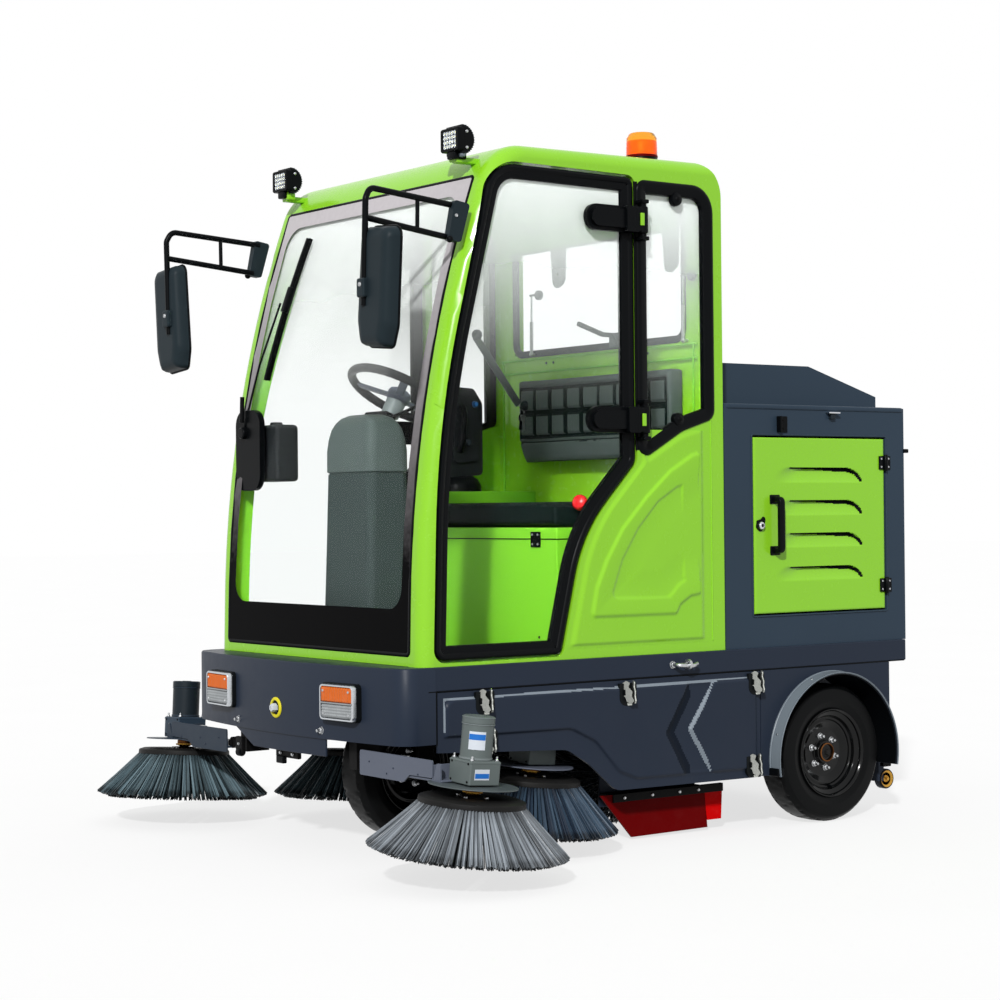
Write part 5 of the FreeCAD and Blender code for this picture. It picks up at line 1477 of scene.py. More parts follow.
def build_brushes():
    """Four side brushes, each a disc and its fanned strands on a leaning axis."""
    # Painted shade: the left mid brush, which sits in shade under the body, takes strands painted dark and blue; the
    # near front brush takes pale grey strands.
    finish = {"front_brush_left": STRAND, "mid_brush_left": SHADED_STRAND}
    for word, hub, radius in (("front_brush_", FRONT_HUB, 252.0), ("mid_brush_", MID_HUB, 248.0)):
        for side_word, side in SIDES:
            name = word + side_word
            lean, place = hub_of(hub, side)
            make(name + "_disc", placed(brush_head(), lean, place), name, "black_plastic", stands_for=(name,),
                 flat=False)
            start, stop, shades = brush_strands(radius)
            surface, values = strands(start, stop, 1.9, 0.8, shades)
            build_strands(name + "_bristles", aimed(surface, lean, place), values, finish.get(name, DARK_STRAND), name)


def gear_motor(height, motor, box_paint, stickers, cap, shield):
    """Gearbox with a lid and bolts, the motor's tube with its end caps, and the coupling, about Z."""
    shapes = every(box_paint, rounded_box((-45, -45, 32), (45, 45, 92), 3.5),
                   rounded_box((-45.5, -45.5, 84), (45.5, 45.5, 90), 2))
    for sx in (-1, 1):
        for sy in (-1, 1):
            shapes += every(ZINC, washer_bolt((sx * 37, sy * 37, 92), UP, 5.2),
                            rod((sx * 37, sy * 37, 92), (sx * 37, sy * 37, 103), 2.6, 12, 0.6))
            shapes += every(BLACK_STEEL, pan_screw((sx * 34, -45.4, 62 + 22 * sy), FORE, 3.2))
    top = 92 + height
    body = rounded_path([(0, 92), (41, 92), (41, 97), (39.5, 99), (39.5, top - 18), (40.5, top - 17), (40.5, top - 3),
                         (38, top), (14, top), (12, top + 1), (0, top + 1)], [0, 1, 1, 1, 1, 1, 3, 3, 1, 1, 0], 4)
    shapes.append((lathe(body, 64), motor))
    for low, high in ((top - 21, top - 18), (top - 4, top - 2), (93, 98)):
        shapes.append((lathe([(39, low), (41.3, low + 0.6), (41.3, high - 0.6), (39, high), (39, low)], 64), cap))
    coupling = lathe([(12.2, -22), (12.2, 4), (17, 6), (21, 10), (21, 22), (17, 25), (17, 31), (12.2, 31)], 36)
    collar = lathe([(12.2, 8), (24, 8), (25, 10), (25, 13), (12.2, 13)], 6)
    guard = rounded_path([(0, 26), (112, 26), (112, 29), (0, 29)], [0, 1.2, 1.2, 0], 4)
    shapes += [(coupling, COPPER), (collar, BRASS), (lathe(guard, 72), shield)]
    if stickers:
        shapes += [(bent_label(40.2, -66, -6, 118, 162), BLANK_WHITE),
                   (bent_label(40.6, -65, -7, 142, 156), BLANK_BLUE),
                   (rounded_box((45.1, -32, 46), (46.0, 12, 72), 0.4), BLANK_WHITE),
                   (rounded_box((45.6, -31, 50), (46.3, 11, 62), 0.3), BLANK_BLUE)]
    return shapes


def bent_label(radius, start, stop, low, high):
    """Blank label bent round a tube: a thin closed strip between two angles in degrees and two heights."""
    turn = np.linspace(math.radians(start), math.radians(stop), 14)
    middle, half = (low + high) / 2, (high - low) / 2
    line = np.column_stack([radius * np.cos(turn), radius * np.sin(turn), np.full(14, middle)])
    return carried(line, [(0.5, -half), (0.5, half), (-0.5, half), (-0.5, -half)], UP)


def front_arm(paint):
    """Front brush arm: the notched cover plate, the folded web with its flange, bolts and pivot."""
    outline = rounded_path([(345, 239), (346, 303), (672, 302), (672, 259), (573, 258), (545, 238)],
                           [6, 6, 5, 4, 6, 10], 6, True)
    flange = rounded_path([(672, 250), (688, 296), (704, 296), (704, 250)], [2, 6, 4, 2], 5, True)
    shapes = every(paint, plate(outline, -1505, -1501, "y"), rounded_box((345, -1501, 250), (706, -1400, 256), 2),
                   plate(flange, -1503, -1499, "y"), rounded_box((668, -1503, 250), (672, -1400, 291), 1.2))
    shapes += every(BLACK_STEEL, rod((345, -1489, 265), (345, -1427, 265), 16, 28, 1.5))
    shapes += every(SLATE, *(pan_screw((x, -1505, z), FORE, 2.6)
                             for x, z in ((390, 276), (500, 268), (610, 262), (470, 252))))
    return shapes + every(ZINC, *(washer_bolt((x, -1470, 256), UP, 7) for x in (520, 610)),
                          rounded_box((505, -1498, 294), (535, -1478, 300), 2))


def build_arms():
    """Brush arms, motors and their pivots on both sides; the left side's are the paler ones."""
    looks = {"left": (MOTOR_GREY, MOTOR_GREY, ARM_GREY, MOTOR_CAP, LEVER_GREY),
             "right": (MOTOR_DARK, SLATE_BOX, ARM_DARK, ARM_DARK, ARM_DARK)}
    for word, side in SIDES:
        motor, case, cap, end, shield = looks[word]
        front = front_arm(cap)
        mid = every(BLACK_STEEL, rounded_box((262, -1040, 271), (384, -990, 311), 4),
                    rod((262, -1041, 320), (262, -989, 320), 16, 28, 1.5))
        if side < 0:
            front, mid = mirrored(front), mirrored(mid)
        front += placed(gear_motor(106, motor, case, side > 0, end, shield), *hub_of(FRONT_HUB, side))
        mid += placed(gear_motor(80, motor, case, False, cap, cap), *hub_of(MID_HUB, side))
        for start, shapes in (("front_arm_", front), ("mid_arm_", mid)):
            make(start + word + "_unit", shapes, start + word, "grey_plastic", stands_for=(start + word,))


def build_roller():
    """Main roller: its core with spiral rows of short strands."""
    core = lathe([(0, -379), (14.5, -379), (14.5, -362), (70, -360), (70, 360), (14.5, 362), (14.5, 379), (0, 379)], 40)
    make("roller_core", every(BLACK_STEEL, aimed(core, OUT, ROLLER_PLACE)), "main_roller", "black_plastic",
         stands_for=("main_roller",), flat=False)
    rows, each = 32, 72
    row = np.repeat(np.arange(rows), each)
    along = np.tile(np.linspace(-352, 352, each), rows) + RNG.uniform(-3, 3, rows * each)
    a = row * 2 * math.pi / rows + along * 0.0022 + RNG.normal(0, 0.012, len(row))
    b = a + RNG.normal(0, 0.03, len(row))
    reach = 150 - RNG.uniform(0, 5, len(row))
    start = np.stack([68 * np.cos(a), 68 * np.sin(a), along], 1)
    stop = np.stack([reach * np.cos(b), reach * np.sin(b), along + RNG.normal(0, 2.5, len(row))], 1)
    surface, values = strands(start, stop, 2.3, 2.0)
    build_strands("roller_bristles", aimed(surface, OUT, ROLLER_PLACE), values, ROLLER_STRAND, "main_roller")


def build_flaps():
    """Red rubber flaps with their strip of screws, and the rear sheet."""
    # Painted shade: the long flap and the rear sheet, which hang in shade under the body, take the shaded red; the
    # small piece takes the lit red.
    flap = plate([(-783, 130), (-673, 8), (-394, 10), (-407, 130)], 425.5, 430.5, "x")
    second = plate([(-404, 126), (-399, 30), (-342, 30), (-337, 126)], 425.5, 430.5, "x")
    strap = rounded_box((421, -740, 108), (434, -336, 131), 1.5)
    ledge = rounded_box((374, -740, 120), (425, -407, 130), 1.5)
    shapes = [(flap, RED_DARK_AND_SHADED), (second, RED_SHEET)] + every(BLACK_STEEL, strap, ledge)
    shapes += every(ZINC, *(washer_bolt((434, y, 119), OUT, 4.5) for y in (-700, -600, -500, -430)))
    pair("side_flap", shapes, "vehicle", "red_rubber", stands_for=("roller_flaps",), bevel=0.5)
    back = rounded_box((-368, -396, 12), (368, -391, 130), 1.5)
    make("rear_flap", [(back, RED_DARK_AND_SHADED)], "vehicle", "red_rubber")


def build_casters():
    """Yellow-plated caster wheels with dark tyres on the bin, its handle grip and folded edge."""
    centre = (440, 312, 92)
    tread = lathe([(24.5, -9), (28, -10), (30, -7), (30, 7), (28, 10), (24.5, 9), (24.5, -9)], 44)
    disc = lathe([(0, -9), (8, -10), (11, -6), (19, -6), (25, -10), (25, 10), (19, 6), (11, 6), (8, 10), (0, 9)], 40)
    back = rounded_path([(290, 84), (282, 150), (330, 150), (318, 84)], [6, 6, 8, 10], 5, True)
    shapes = placed([(tread, TYRE_RUBBER), (disc, BRASS)], OUT, centre)
    shapes += every(BLACK_STEEL, plate(back, 420, 424, "x"), rounded_box((420, 282, 128), (448, 334, 152), 3))
    shapes += [(washer_bolt((450, 312, 92), OUT, 6), BRASS), (rod((418, 312, 92), (451, 312, 92), 5), ZINC),
               (rounded_box((370, 280, 120), (446, 298, 150), 3), BLACK_STEEL)]
    pair("bin_caster", shapes, "hopper", "zinc")
    grip = rod((-88, 344, 306), (88, 344, 306), 8.5, 24, 2)
    lip = rounded_box((-368, 311, 384), (368, 320, 396), 3)
    make("bin_grip", [(grip, BLACK_TRIM), (lip, SLATE)], "hopper", "black_plastic")


# Cab inside


def block_grid(low, high, spacing):
    """Closed box of even grids, for a pad that is shaped afterwards."""
    low, high = np.asarray(low, float), np.asarray(high, float)
    counts = np.maximum(2, ((high - low) / spacing).astype(int))
    surfaces = []
    for axis in range(3):
        u, v = [k for k in range(3) if k != axis]
        a, b = np.meshgrid(np.linspace(low[u], high[u], counts[u]), np.linspace(low[v], high[v], counts[v]),
                           indexing="ij")
        for place, flip in ((low[axis], axis != 1), (high[axis], axis == 1)):
            points = np.zeros((a.size, 3))
            points[:, u], points[:, v], points[:, axis] = a.ravel(), b.ravel(), place
            quads = grid_faces(counts[u], counts[v])
            surfaces.append((points, [quads[:, ::-1] if flip else quads]))
    return joined(*surfaces)


PAD_VOXEL = 0.008
PAD_PRESSURE = 4.0
PAD_FRAMES = 20


def puffed(name, surface, material, cap):
    """Pad filled by a cloth simulation under even pressure: remeshed, inflated, and its points held within
    a cap of their start."""
    mesh = mesh_of(name, [(surface, material)])
    settle(mesh)
    thing = bpy.data.objects.new(name, mesh)
    bpy.context.scene.collection.objects.link(thing)
    voxels = thing.modifiers.new("even", "REMESH")
    voxels.mode = "VOXEL"
    voxels.voxel_size = PAD_VOXEL
    apply_modifiers(thing)
    before = points_of(thing.data)
    cloth = thing.modifiers.new("filling", "CLOTH")
    cloth.settings.use_pressure = True
    cloth.settings.uniform_pressure_force = PAD_PRESSURE
    cloth.settings.effector_weights.gravity = 0.0
    cloth.point_cache.frame_start, cloth.point_cache.frame_end = 1, PAD_FRAMES
    scene = bpy.context.scene
    for number in range(1, PAD_FRAMES + 1):
        scene.frame_set(number)
    apply_modifiers(thing)
    scene.frame_set(1)
    after = points_of(thing.data)
    step = after - before
    long = np.linalg.norm(step, axis=1, keepdims=True)
    held = before + step * np.minimum(1.0, cap * MM / np.maximum(long, 1e-9))
    set_points(thing.data, held)
    return thing


def set_points(mesh, points):
    """Puts an array of points back into a mesh."""
    mesh.vertices.foreach_set("co", points.astype(np.float32).ravel())


def points_of(mesh):
    """Points of a mesh as an array."""
    flat = np.empty(len(mesh.vertices) * 3, np.float32)
    mesh.vertices.foreach_get("co", flat)
    return flat.reshape(-1, 3).astype(float)


def apply_modifiers(thing):
    """Puts the evaluated mesh in place of the modifiers."""
    graph = bpy.context.evaluated_depsgraph_get()
    made = bpy.data.meshes.new_from_object(thing.evaluated_get(graph))
    thing.modifiers.clear()
    thing.data = made


def settle_pad(thing, material):
    """Gives a pad its finish, smooth shading and its place on the vehicle's body."""
    thing.data.materials.clear()
    thing.data.materials.append(material)
    thing.data.shade_smooth()
    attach(thing, "vehicle")


def build_cushions():
    """Seat cushion and back cushion: foam pads with pressed panels sunk between raised blocks; on the back, the sunk
    field and the roll crease are painted dark as shade.
    """
    seat = block_grid((-286, -930, 868), (430, -508, 929), 12)
    points = seat[0]
    end = np.clip((points[:, :1] - 340) / 84, 0, 1)
    points[:, 2:3] -= 9 * end * (points[:, 2:3] > 900)
    nose = np.clip((-890 - points[:, 1:2]) / 40, 0, 1)
    points[:, 2:3] += 7 * nose * (points[:, 2:3] < 890)
    cushion = puffed("seat_cushion", seat, VINYL, 5.0)
    place = points_of(cushion.data)
    x, y = place[:, 0] / MM, place[:, 1] / MM - AXLE
    top = np.clip((place[:, 2] / MM - 900) / 12, 0, 1)
    groove = np.maximum.reduce([gentle(1 - np.abs(x - line) / 8) for line in (-170, -60, 60, 170, 290)])
    groove = np.maximum.reduce([groove] + [gentle(1 - np.abs(y - line) / 8) for line in (-860, -720, -590)])
    place[:, 2] -= 4 * MM * groove * top
    set_points(cushion.data, place)
    settle_pad(cushion, VINYL_DARK_AND_SHADED)

    back = block_grid((-314, -494, 1056), (404, -442, 1310), 12)
    points = back[0]
    low = np.clip((1130 - points[:, 2:3]) / 74, 0, 1)
    points[:, :1] *= 1 - 0.10 * low ** 1.5
    rest = puffed("back_cushion", back, VINYL, 4.0)
    finer_mesh = rest.modifiers.new("finer", "SUBSURF")
    finer_mesh.subdivision_type = "SIMPLE"
    finer_mesh.levels = finer_mesh.render_levels = 1
    apply_modifiers(rest)
    place = points_of(rest.data)
    x, z = place[:, 0] / MM, place[:, 2] / MM
    front = np.clip((-470 - (place[:, 1] / MM - AXLE)) / 12, 0, 1)
    panel = np.zeros_like(x)
    for row in (1171, 1247):
        for column in np.linspace(-262, 352, 9):
            inside = np.minimum(32 - np.abs(x - column), 29 - np.abs(z - row))
            panel = np.maximum(panel, gentle((inside + 2) / 5))
    field = gentle(np.minimum.reduce([x + 300, 390 - x, z - 1128, 1290 - z]) / 6)
    place[:, 1] += MM * front * (8.0 * field - 8.5 * panel * field)
    roll = gentle(1 - np.abs(z - 1120) / 6)
    place[:, 1] += MM * 4.5 * roll * front
    set_points(rest.data, place)
    settle_pad(rest, VINYL)
    rest.data.materials.append(VINYL_DARK_AND_SHADED)
    # Painted shade: faces of the sunk field between the blocks and of the roll crease take the dark vinyl.
    sunk = (field > 0.5) & (panel < 0.45) & (front > 0.5) | (roll > 0.5) & (front > 0.5)
    corner_of, point_of = np.empty(len(rest.data.polygons), np.int32), np.empty(len(rest.data.loops), np.int32)
    rest.data.polygons.foreach_get("loop_start", corner_of)
    rest.data.loops.foreach_get("vertex_index", point_of)
    rest.data.polygons.foreach_set("material_index", sunk[point_of[corner_of]].astype(np.int32))
    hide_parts("seat_cushions")


def build_seat_box():
    """Seat box with its lid seam, hinge and drain screw, the seam under the arm, and the floor with pedals."""
    dressed("seat_box", LIME_INSIDE, 4.0, 3, "vehicle")
    seam = tube([(-298, -925.6, 833), (430.6, -925.6, 833), (430.6, -440, 833)], 1.7, (0.3, 0.3, 1), 6)
    shapes = every(BLACK_TRIM, seam, rounded_box((319, -930, 811), (361, -925, 853), 2))
    shapes += every(ZINC, *(pan_screw((340 + sx * 12, -930, 832 + sz * 13), FORE, 3.4)
                            for sx in (-1, 1) for sz in (-1, 1)))
    shapes += [(pan_screw((350, -925.5, 566), FORE, 4), BLACK_STEEL),
               (rounded_box((428, -760, 813), (434.5, -728, 853), 2), BLACK_TRIM)]
    make("seat_box_fittings", shapes, "vehicle", "black_plastic")
    shapes = every(POD_GREY, rounded_box((-448, -1395, 516.5), (448, -930, 521), 1.5))
    for x, half in ((-190, 30), (190, 35)):
        pad = rounded_box((x - half, -1330, 560), (x + half, -1322, 650), 3)
        shapes += [(turned(pad, OUT, 38, (x, -1326, 560)), BLACK_TRIM),
                   (rod((x, -1330, 520), (x, -1322, 600), 6), BLACK_STEEL)]
    make("floor_mat", shapes, "vehicle", "black_plastic")


def build_console():
    """Tapered steering console with its hood, boot, bezel and stalk."""
    rings = []
    for half_x, half_y, z, radius in ((124, 76, 517, 18), (118, 70, 800, 24), (114, 66, 1014, 27), (111, 63, 1018, 27),
                                      (117, 68, 1022, 27), (117, 68, 1080, 28), (114, 65, 1112, 30),
                                      (107, 60, 1138, 30), (95, 52, 1156, 26), (78, 42, 1169, 18), (50, 27, 1178, 10)):
        flat = stadium(-half_x, half_x, -1250 - half_y, -1250 + half_y, radius, 6)
        rings.append(np.column_stack([flat, np.full(len(flat), float(z))]))
    count = len(rings[0])
    points, (sides, top) = layered(rings, last=True)
    sides, stem_count = sides[:, ::-1], 3 * count
    lower = (points, [sides[:stem_count], np.arange(count)[None, ::-1]])
    upper = (points, [sides[stem_count:], top])
    column = rod((0, -1192, 1150), (0, -1158, 1208), 21, 32, 2)
    boot = aimed(lathe([(0, 0), (34, 0), (34, 8), (28, 12), (30, 18), (25, 24), (27, 30), (21, 38), (0, 38)], 36),
                 (0, 0.5, 0.866), (0, -1198, 1140))
    bezel = turned(rounded_box((-54, -1225, 1166), (54, -1195, 1186), 5), OUT, -20, (0, -1210, 1175))
    stalk = tube(rounded_path([(10, -1180, 1170), (90, -1170, 1190), (128, -1150, 1206)], [0, 60, 0], 6), 5)
    shapes = [(lower, CONSOLE_GREY), (upper, CONSOLE_TOP), (column, BLACK_STEEL)]
    shapes += every(BLACK_TRIM, boot, bezel, stalk, ball((130, -1149, 1207), 9))
    make("steering_console", shapes, "vehicle", "grey_plastic", stands_for=("cab_controls",))


def build_control_pod():
    """Control pod by the right-hand post, with its round foot, face, blue button and grip."""
    body = rounded_path([(-734, 1012), (-604, 1020), (-604, 1240), (-636, 1284), (-700, 1288), (-728, 1250),
                         (-738, 1150)], [14, 16, 30, 18, 20, 40, 60], 8, True)
    face = rounded_path([(-716, 1056), (-628, 1062), (-628, 1230), (-652, 1262), (-700, 1264), (-718, 1220)],
                        [16, 14, 22, 12, 14, 40], 8, True)
    button = lathe([(0, 10), (8, 9), (10, 6), (10, 0), (0, 0)], 28)
    collar = lathe([(10.5, 0), (14, 0), (13, 3), (10.5, 3), (10.5, 0)], 28)
    grip = tube(rounded_path([(-334, -700, 1090), (-318, -700, 1120), (-318, -690, 1200), (-336, -688, 1232)],
                             [0, 14, 14, 0], 6), 9, AFT, 14)
    foot = lathe([(0, 0), (72, 0), (70, 20), (60, 38), (44, 48), (0, 50)], 48)
    shapes = every(POD_GREY, plate(body, -438, -346, "x"), plate(face, -346, -336, "x"))
    shapes += [(aimed(button, OUT, (-337, -640, 1236)), BLUE_BUTTON),
               (aimed(collar, OUT, (-336.5, -640, 1236)), BLACK_TRIM), (grip, BLACK_TRIM),
               (ball((-332, -668, 1120), 11), MIRROR_SHELL), (moved(foot, (-388, -668, 970)), BLACK_TRIM)]
    make("control_pod", shapes, "vehicle", "grey_plastic", bevel=2.0)


def build_cab_levers():
    """Parking lever with ball ends and a bunch of keys, and the red release knob by the door post."""
    high, low = np.array([-285, -672, 1438.0]), np.array([-285, -512, 1236.0])
    high_end, low_end = high + (14, -4, 4), low + (16, 14, -4)
    blade = carried(np.linspace(high, low, 8), bar_section(24, 8, 3), OUT)
    shapes = [(blade, LEVER_GREY)] + every(MIRROR_SHELL, ball(high_end, 16), ball(low_end, 16))
    shapes += every(ZINC, rod(high + (-8, 0, 0), high_end, 5), rod(low + (-8, 0, 0), low_end, 5))
    hang = low + (10, 6, -22)
    ring = rounded_path([hang + (0, y, z) for y, z in ((-8, 10), (-8, -10), (8, -10), (8, 10))], 7.5, 6, True)
    shapes += every(CHROME, carried(ring, ring_section(1.2, 8), OUT, True))
    blank = rounded_path([(-5, -52), (-5, -24), (-9, -20), (-9, -4), (9, -4), (9, -20), (5, -24), (5, -52)],
                         [1, 2, 3, 4, 4, 3, 2, 1], 3, True)
    for shift, lean, material in ((-3, -6, BLACK_TRIM), (3, 8, ZINC)):
        key = turned(plate(blank, -1, 1, "x"), OUT, lean)
        shapes.append((moved(key, hang + (shift, 0, -6)), material))
    make("cab_lever", shapes, "vehicle", "black_plastic")
    knob = aimed(lathe([(0, 0), (18, 0), (22, 6), (22, 16), (18, 24), (10, 27), (0, 28)], 12), (0.55, -0.8, 0.25),
                 (446, -852, 928))
    stem = rod((434, -824, 920), (448, -856, 929), 7, 16)
    bracket = rounded_box((430, -834, 866), (446, -806, 936), 3)
    make("release_knob", [(knob, RED_KNOB), (stem, BLACK_STEEL), (bracket, LIME_INSIDE)], "vehicle", "red_rubber",
         bevel=1.5)


def build_back_window():
    """Seal of the rear window, its two gas struts with ball ends, hinge plates and the catch."""
    edge = [(-398, -432, 1394), (398, -432, 1394), (398, -432, 1756), (-398, -432, 1756)]
    seal = carried(rounded_path(edge, 34, 8, True), bar_section(22, 14, 4), AFT, True)
    header = rounded_box((-402, -470, 1703), (402, -462, 1762), 2)
    shapes = [(seal, MIRROR_SHELL), (header, LIME_INSIDE),
              (rounded_box((-385, -471, 1698), (385, -460, 1704), 2), LEVER_GREY)]
    for foot, head in (((-295, 1392), (-292, 1573)), ((413, 1388), (415, 1570))):
        low, high = np.array([foot[0], -452.0, foot[1]]), np.array([head[0], -452.0, head[1]])
        middle = low + (high - low) * 0.55
        shapes += [(rod(low, middle, 5.5, 18, 1), ZINC), (rod(middle, high, 3.2, 14), CHROME),
                   (ball(low, 7.5), ZINC), (rod(high - (8, 0, 0), high + (36, 0, 0), 3.5), LEVER_GREY),
                   (rod(low, low + (0, 20, 0), 4), ZINC),
                   (rod(high + (34, -6, -2), high + (34, 10, -2), 15, 24, 3), LEVER_GREY)]
    for x in (-162, 358):
        tongue = rounded_path([(x - 36, 1740), (x + 36, 1740), (x + 30, 1600), (x - 10, 1580), (x - 24, 1600)],
                              [3, 3, 26, 20, 16], 6, True)
        shapes += [(plate(tongue, -452, -444, "y"), LEVER_GREY), (pan_screw((x, -452, 1625), FORE, 5), ZINC)]
    arm = rounded_path([(118, -450, 1398), (96, -454, 1424), (60, -458, 1428), (-36, -472, 1466)], [0, 10, 10, 0], 5)
    shapes += every(LEVER_GREY, carried(arm, bar_section(14, 14, 4), AFT),
                    rounded_box((84, -456, 1386), (136, -440, 1430), 5))
    shapes += every(BLACK_STEEL, *(pan_screw((x, -437, 1362), FORE, 4) for x in (-240, -205, 240)))
    make("back_window_fittings", shapes, "vehicle", "black_plastic")
    folds = [tube([(-459, -445, z), (459, -445, z)], 3, UP, 8) for z in (1336, 1376)]
    folds += [tube([(x, -447, 900), (x, -447, 1376)], 3, OUT, 8) for x in (-448, 448)]
    make("back_wall_folds", every(LIME_INSIDE, *folds), "vehicle", "lime_paint", flat=False)


def build_steering_wheel():
    """Padded rim with grip dents underneath, three spokes and the centre cap, tilted to the driver."""
    rings, sides = 120, 18
    a, b = round_turn(rings)[:, None], round_turn(sides)[None]
    thick = 12.5 - 0.9 * (0.5 - 0.5 * np.cos(a * 36)) * np.clip(-np.sin(b), 0, 1)
    r = 145 + thick * np.cos(b)
    rim = (np.stack([r * np.cos(a), r * np.sin(a), thick * np.sin(b)], -1).reshape(-1, 3),
           [grid_faces(rings, sides, True, True)])
    shapes = [(rim, BLACK_TRIM)]
    for degrees in (90, 210, 330):
        way = np.array([math.cos(math.radians(degrees)), math.sin(math.radians(degrees)), 0])
        path = np.array([way * 20 + (0, 0, -6), way * 70 + (0, 0, -4), way * 120 + (0, 0, -1), way * 140])
        shapes.append((carried(path, bar_section(9, 24, 4), np.cross(way, UP)), ARM_GREY))
    hub = lathe([(0, -22), (24, -22), (33, -16), (34, 2), (31, 9), (22, 12), (0, 13)], 48)
    ring = lathe([(19, 12.6), (22, 14.4), (25, 11.6)], 48)
    neck = lathe([(12.2, -70), (26, -66), (28, -24), (24, -21.5), (12.2, -21.5)], 40)
    shapes += [(hub, ARM_GREY), (ring, CHROME), (neck, MOTOR_CAP)]
    tilted = [(moved(turned(surface, OUT, -30), (0, -1140, 1236)), material) for surface, material in shapes]
    make("steering_wheel_rim", tilted, "steering_wheel", "black_plastic", stands_for=("steering_wheel",), flat=False)


# Mirrors and lamps


def build_mirrors():
    """Mirror heads with a dished back and a clamp on bent tube frames with a strut and a pillar bracket."""
    high = [(498, -1296, 1695), (520, -1572, 1718), (523, -1587, 1690), (512, -1587, 1424)]
    low = [(498, -1318, 1612), (522, -1586, 1642)]
    shapes = every(BLACK_TRIM, tube(rounded_path(high, [0, 24, 24, 0], 10), 8, (1, 0.1, 0), 16),
                   tube(low, 8, (1, 0.1, 0), 16), tube([(505, -1420, 1622), (507, -1420, 1706)], 5.5, OUT, 14))
    bracket = rounded_path([(-1331, 1604), (-1292, 1600), (-1262, 1700), (-1310, 1708)], 8, 5, True)
    shapes += [(plate(bracket, 494, 516, "x"), MIRROR_SHELL), (pan_screw((516, -1306, 1668), OUT, 5), ZINC),
               (ball((514, -1326, 1606), 9, 10), BLACK_TRIM)]
    edge = rounded_path([(-68, 150), (68, 150), (71, -96), (54, -150), (-54, -150), (-71, -96)],
                        [26, 26, 60, 16, 16, 60], 8, True)
    shell = layered([ring_at(edge * (1 - inset / np.array([70.0, 150.0])), y)
                     for inset, y in ((0.0, 27), (1.0, 20), (2.5, 6), (7.0, -6), (16.0, -13), (32.0, -16))], last=True)
    rim = carried(ring_at(edge, 26), ring_section(3.2, 8), AFT, True)
    face = plate(edge * (0.93, 0.97), 25.5, 27.5, "y")
    head = [(shell, MIRROR_SHELL), (rim, BLACK_TRIM), (face, MIRROR_FACE)]
    shapes += [(moved(turned(surface, AFT, 5), (541, -1571, 1470)), material) for surface, material in head]
    shapes += [(rounded_box((496, -1600, 1444), (529, -1572, 1492), 5), MIRROR_SHELL),
               (pan_screw((513, -1600, 1476), FORE, 6), ZINC)]
    pair("mirror", shapes, "vehicle", "black_plastic", stands_for=("mirrors",))


def ribbed_pane(low_x, high_x, low_z, high_z, y, ribs, rows):
    """Lens whose front waves: cosines across and, where rows is not nought, upwards; closed behind."""
    across, up = np.meshgrid(np.linspace(low_x, high_x, 112), np.linspace(low_z, high_z, 24))
    edge = np.minimum.reduce([across - low_x, high_x - across, up - low_z, high_z - up])
    wave = 1.3 * np.cos((across - low_x) * 2 * math.pi * ribs / (high_x - low_x))
    if rows:
        wave = wave + 1.1 * np.cos((up - low_z) * 2 * math.pi * rows / (high_z - low_z))
    shape = relief(across, up, (5.0 + wave) * gentle(edge / 4), 0.0, -6.0)
    return moved(turned(shape, UP, -90), (0, y, 0))


def build_headlamps():
    """Square headlamps turned out with the bumper: pale rounded bezel, amber upper and ribbed pale lower lens,
    corner screws, and the dark housing behind."""
    half_x, half_z = 71.0, 46.5
    bezel = layered([ring_at(stadium(inset - half_x, half_x - inset, inset - half_z, half_z - inset, corner), y)
                     for inset, y, corner in ((0, 30, 12), (0, 0, 12), (1.5, -2.5, 11), (5.0, -2.0, 9), (5.5, 8.0, 8))])
    housing = plate(stadium(-half_x - 6, half_x + 1, -half_z - 3, half_z + 3, 13), 10, 34, "y")
    back = plate(stadium(9 - half_x, half_x - 9, 9 - half_z, half_z - 9, 7), 6, 9, "y")
    amber = ribbed_pane(6 - half_x, half_x - 6, 0.0, half_z - 6, 2.0, 12, 0)
    pale = ribbed_pane(6 - half_x, half_x - 6, 6 - half_z, -2.5, 2.0, 18, 5)
    bar = rounded_box((6 - half_x, -5, -3.5), (half_x - 6, 6, 0.5), 1.2)
    shapes = [(bezel, LAMP_FRAME), (housing, LAMP_HOUSING), (back, LAMP_BOWL), (amber, AMBER_LENS), (pale, PALE_LENS),
              (bar, PALE_LENS)]
    for sx in (-1, 1):
        for sz, material in ((-1, PALE_LENS), (1, AMBER_LENS)):
            x, z = sx * (half_x - 17), sz * (half_z - 17)
            shapes += [(rod((x, 4, z), (x, -3.5, z), 6.5, 20, 1), material), (pan_screw((x, -3.5, z), FORE, 3.6), ZINC)]
    shapes = [(moved(turned(surface, UP, 4.6), (310, -1552, 422.5)), material) for surface, material in shapes]
    pair("headlamp", shapes, "vehicle", "lamp", flat=False)


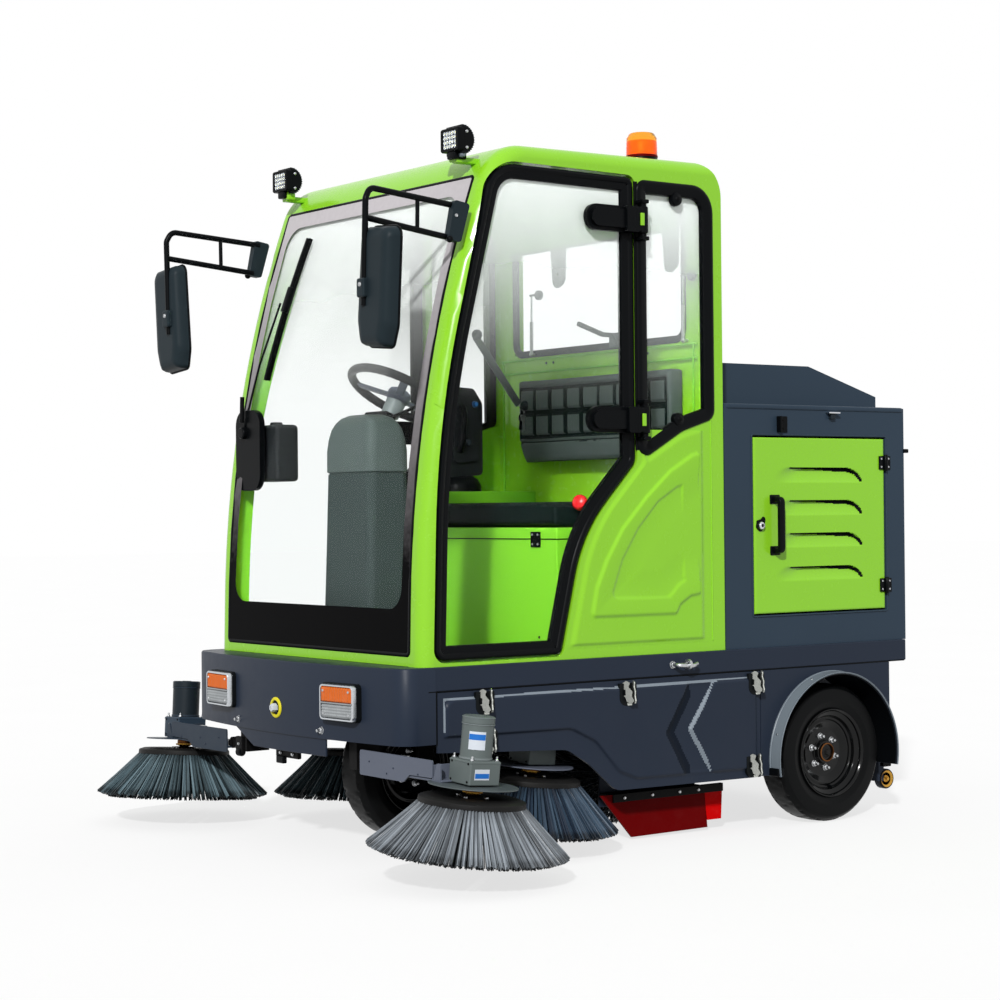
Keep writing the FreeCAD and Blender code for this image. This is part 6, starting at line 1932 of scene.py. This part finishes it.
def build_work_lights():
    """Work lights over the windshield: framed face with rows of diodes, round back with a fin arc and side bolts,
    pivot, stud and painted foot."""
    x, z = 430.0, 1877.0
    frame_shape = layered([ring_at(stadium(x - wide, x + wide, z - tall, z + tall, corner), y)
                           for wide, tall, y, corner in ((40.0, 31.0, -1246, 7), (40.0, 31.0, -1263, 7),
                                                         (38.5, 29.5, -1266, 6), (30.0, 23.5, -1266, 3),
                                                         (29.0, 22.5, -1260, 3))], first=True)
    plate_back = plate(stadium(x - 30, x + 30, z - 23, z + 23, 3), -1261, -1257, "y")
    turn = np.radians(np.linspace(-90, 90, 28))
    half = np.column_stack([-1249 + 38 * np.cos(turn), z + 37.5 * np.sin(turn)])
    shapes = [(frame_shape, BLACK_TRIM), (plate_back, LAMP_HOUSING), (plate(half, x - 36, x + 36, "x"), LAMP_HOUSING)]
    for side in (-1, 1):
        ring = plate((half - (-1249, z)) * 0.82 + (-1247, z), x + side * 36 - 2, x + side * 36 + 2, "x")
        shapes.append((ring, BLACK_TRIM))
    for degrees in np.linspace(-70, 70, 15):
        a = math.radians(degrees)
        foot = np.array([x, -1248 + 38 * math.cos(a), z + 37 * math.sin(a)])
        way = np.array([0, math.cos(a), math.sin(a)])
        path = np.array([foot - (33, 0, 0), foot + (33, 0, 0)])
        shapes.append((carried(path, bar_section(6, 1.8, 0.5), np.cross(way, OUT)), FENDER_GREY))
    for row in range(4):
        for column in range(5):
            place = (x - 23.2 + column * 11.6, -1261, z - 17.1 + row * 11.4)
            cup = aimed(lathe([(0, 0.4), (2.2, 0.4), (4.8, 2.6), (5.3, 2.6), (5.3, 0), (0, 0)], 16), FORE, place)
            shapes += [(cup, LAMP_BOWL), (ball((place[0], -1262, place[2]), 1.7, 5), YELLOW_DIODE)]
    shapes += every(ZINC, *(washer_bolt((x + side * 38, -1236, z + height), (side, 0, 0), 4)
                            for side in (-1, 1) for height in (-22, 20)))
    shapes += [(rounded_box((x - 18, -1262, 1827), (x + 18, -1222, 1850), 4), BLACK_TRIM),
               (rod((x + 10, -1242, 1838), (x + 34, -1242, 1838), 7, 20, 1.5), FENDER_GREY),
               (rounded_box((x - 24, -1252, 1822), (x + 6, -1226, 1846), 4), LIME),
               (rounded_box((x - 12, -1250, 1818), (x + 12, -1150, 1834), 3), LIME),
               (washer_bolt((x - 10, -1240, 1846), UP, 5), COPPER)]
    pair("work_light", shapes, "vehicle", "lamp", flat=False)
    lens = rounded_box((x - 29.5, -1265, z - 23), (x + 29.5, -1263.5, z + 23), 0.6)
    pair("work_light_lens", every(DIODE_LENS, lens), "vehicle", "lamp", flat=False)


def build_beacon():
    """Amber beacon: black base with a flared foot, dark red ring, ribbed dome with a bevelled top, and the bulb."""
    place = (380, -570, 1881.5)
    profile = rounded_path([(44, 20), (42.5, 70), (34, 84), (0, 84.8)], [0, 8, 8, 0], 8)
    turn = round_turn(96)[:, None]
    radius = profile[None, :, 0] * (1 - 0.012 * (0.5 + 0.5 * np.cos(turn * 32)))
    height = np.broadcast_to(profile[None, :, 1], radius.shape)
    points = np.stack([radius * np.cos(turn), radius * np.sin(turn), height], -1)
    dome = (points.reshape(-1, 3), [grid_faces(96, len(profile), True, False)])
    shapes = [(lathe([(0, 0), (47, 0), (47, 3), (44, 6), (44, 15), (0, 15)], 56), BLACK_TRIM),
              (lathe([(0, 15), (45, 15), (45, 19.5), (0, 19.5)], 56), RED_DARK_AND_SHADED),
              (lathe([(0, 22), (40, 22), (40, 50), (34, 62), (0, 64)], 40), AMBER_BULB)]
    make("beacon_base", [(moved(surface, place), material) for surface, material in shapes], "vehicle", "lamp",
         flat=False)
    make("beacon_dome", every(BEACON_LENS, moved(dome, place)), "vehicle", "lamp", turn_out=False, flat=False,
         stands_for=("lamps",))


def build_all():
    """Every piece in turn."""
    build_cab_shell()
    build_door_frames()
    build_quarter_trim()
    build_windshield_trim()
    build_wiper()
    build_side_pressing()
    build_lower_body()
    build_skirts()
    build_latches()
    build_fenders()
    build_bumper_skin()
    build_bumper_details()
    build_box_doors()
    build_box_fittings()
    build_wheels()
    build_brushes()
    build_arms()
    build_roller()
    build_flaps()
    build_casters()
    build_seat_box()
    build_cushions()
    build_console()
    build_control_pod()
    build_cab_levers()
    build_back_window()
    build_steering_wheel()
    build_mirrors()
    build_headlamps()
    build_work_lights()
    build_beacon()


set_camera()
set_studio()
build_all()
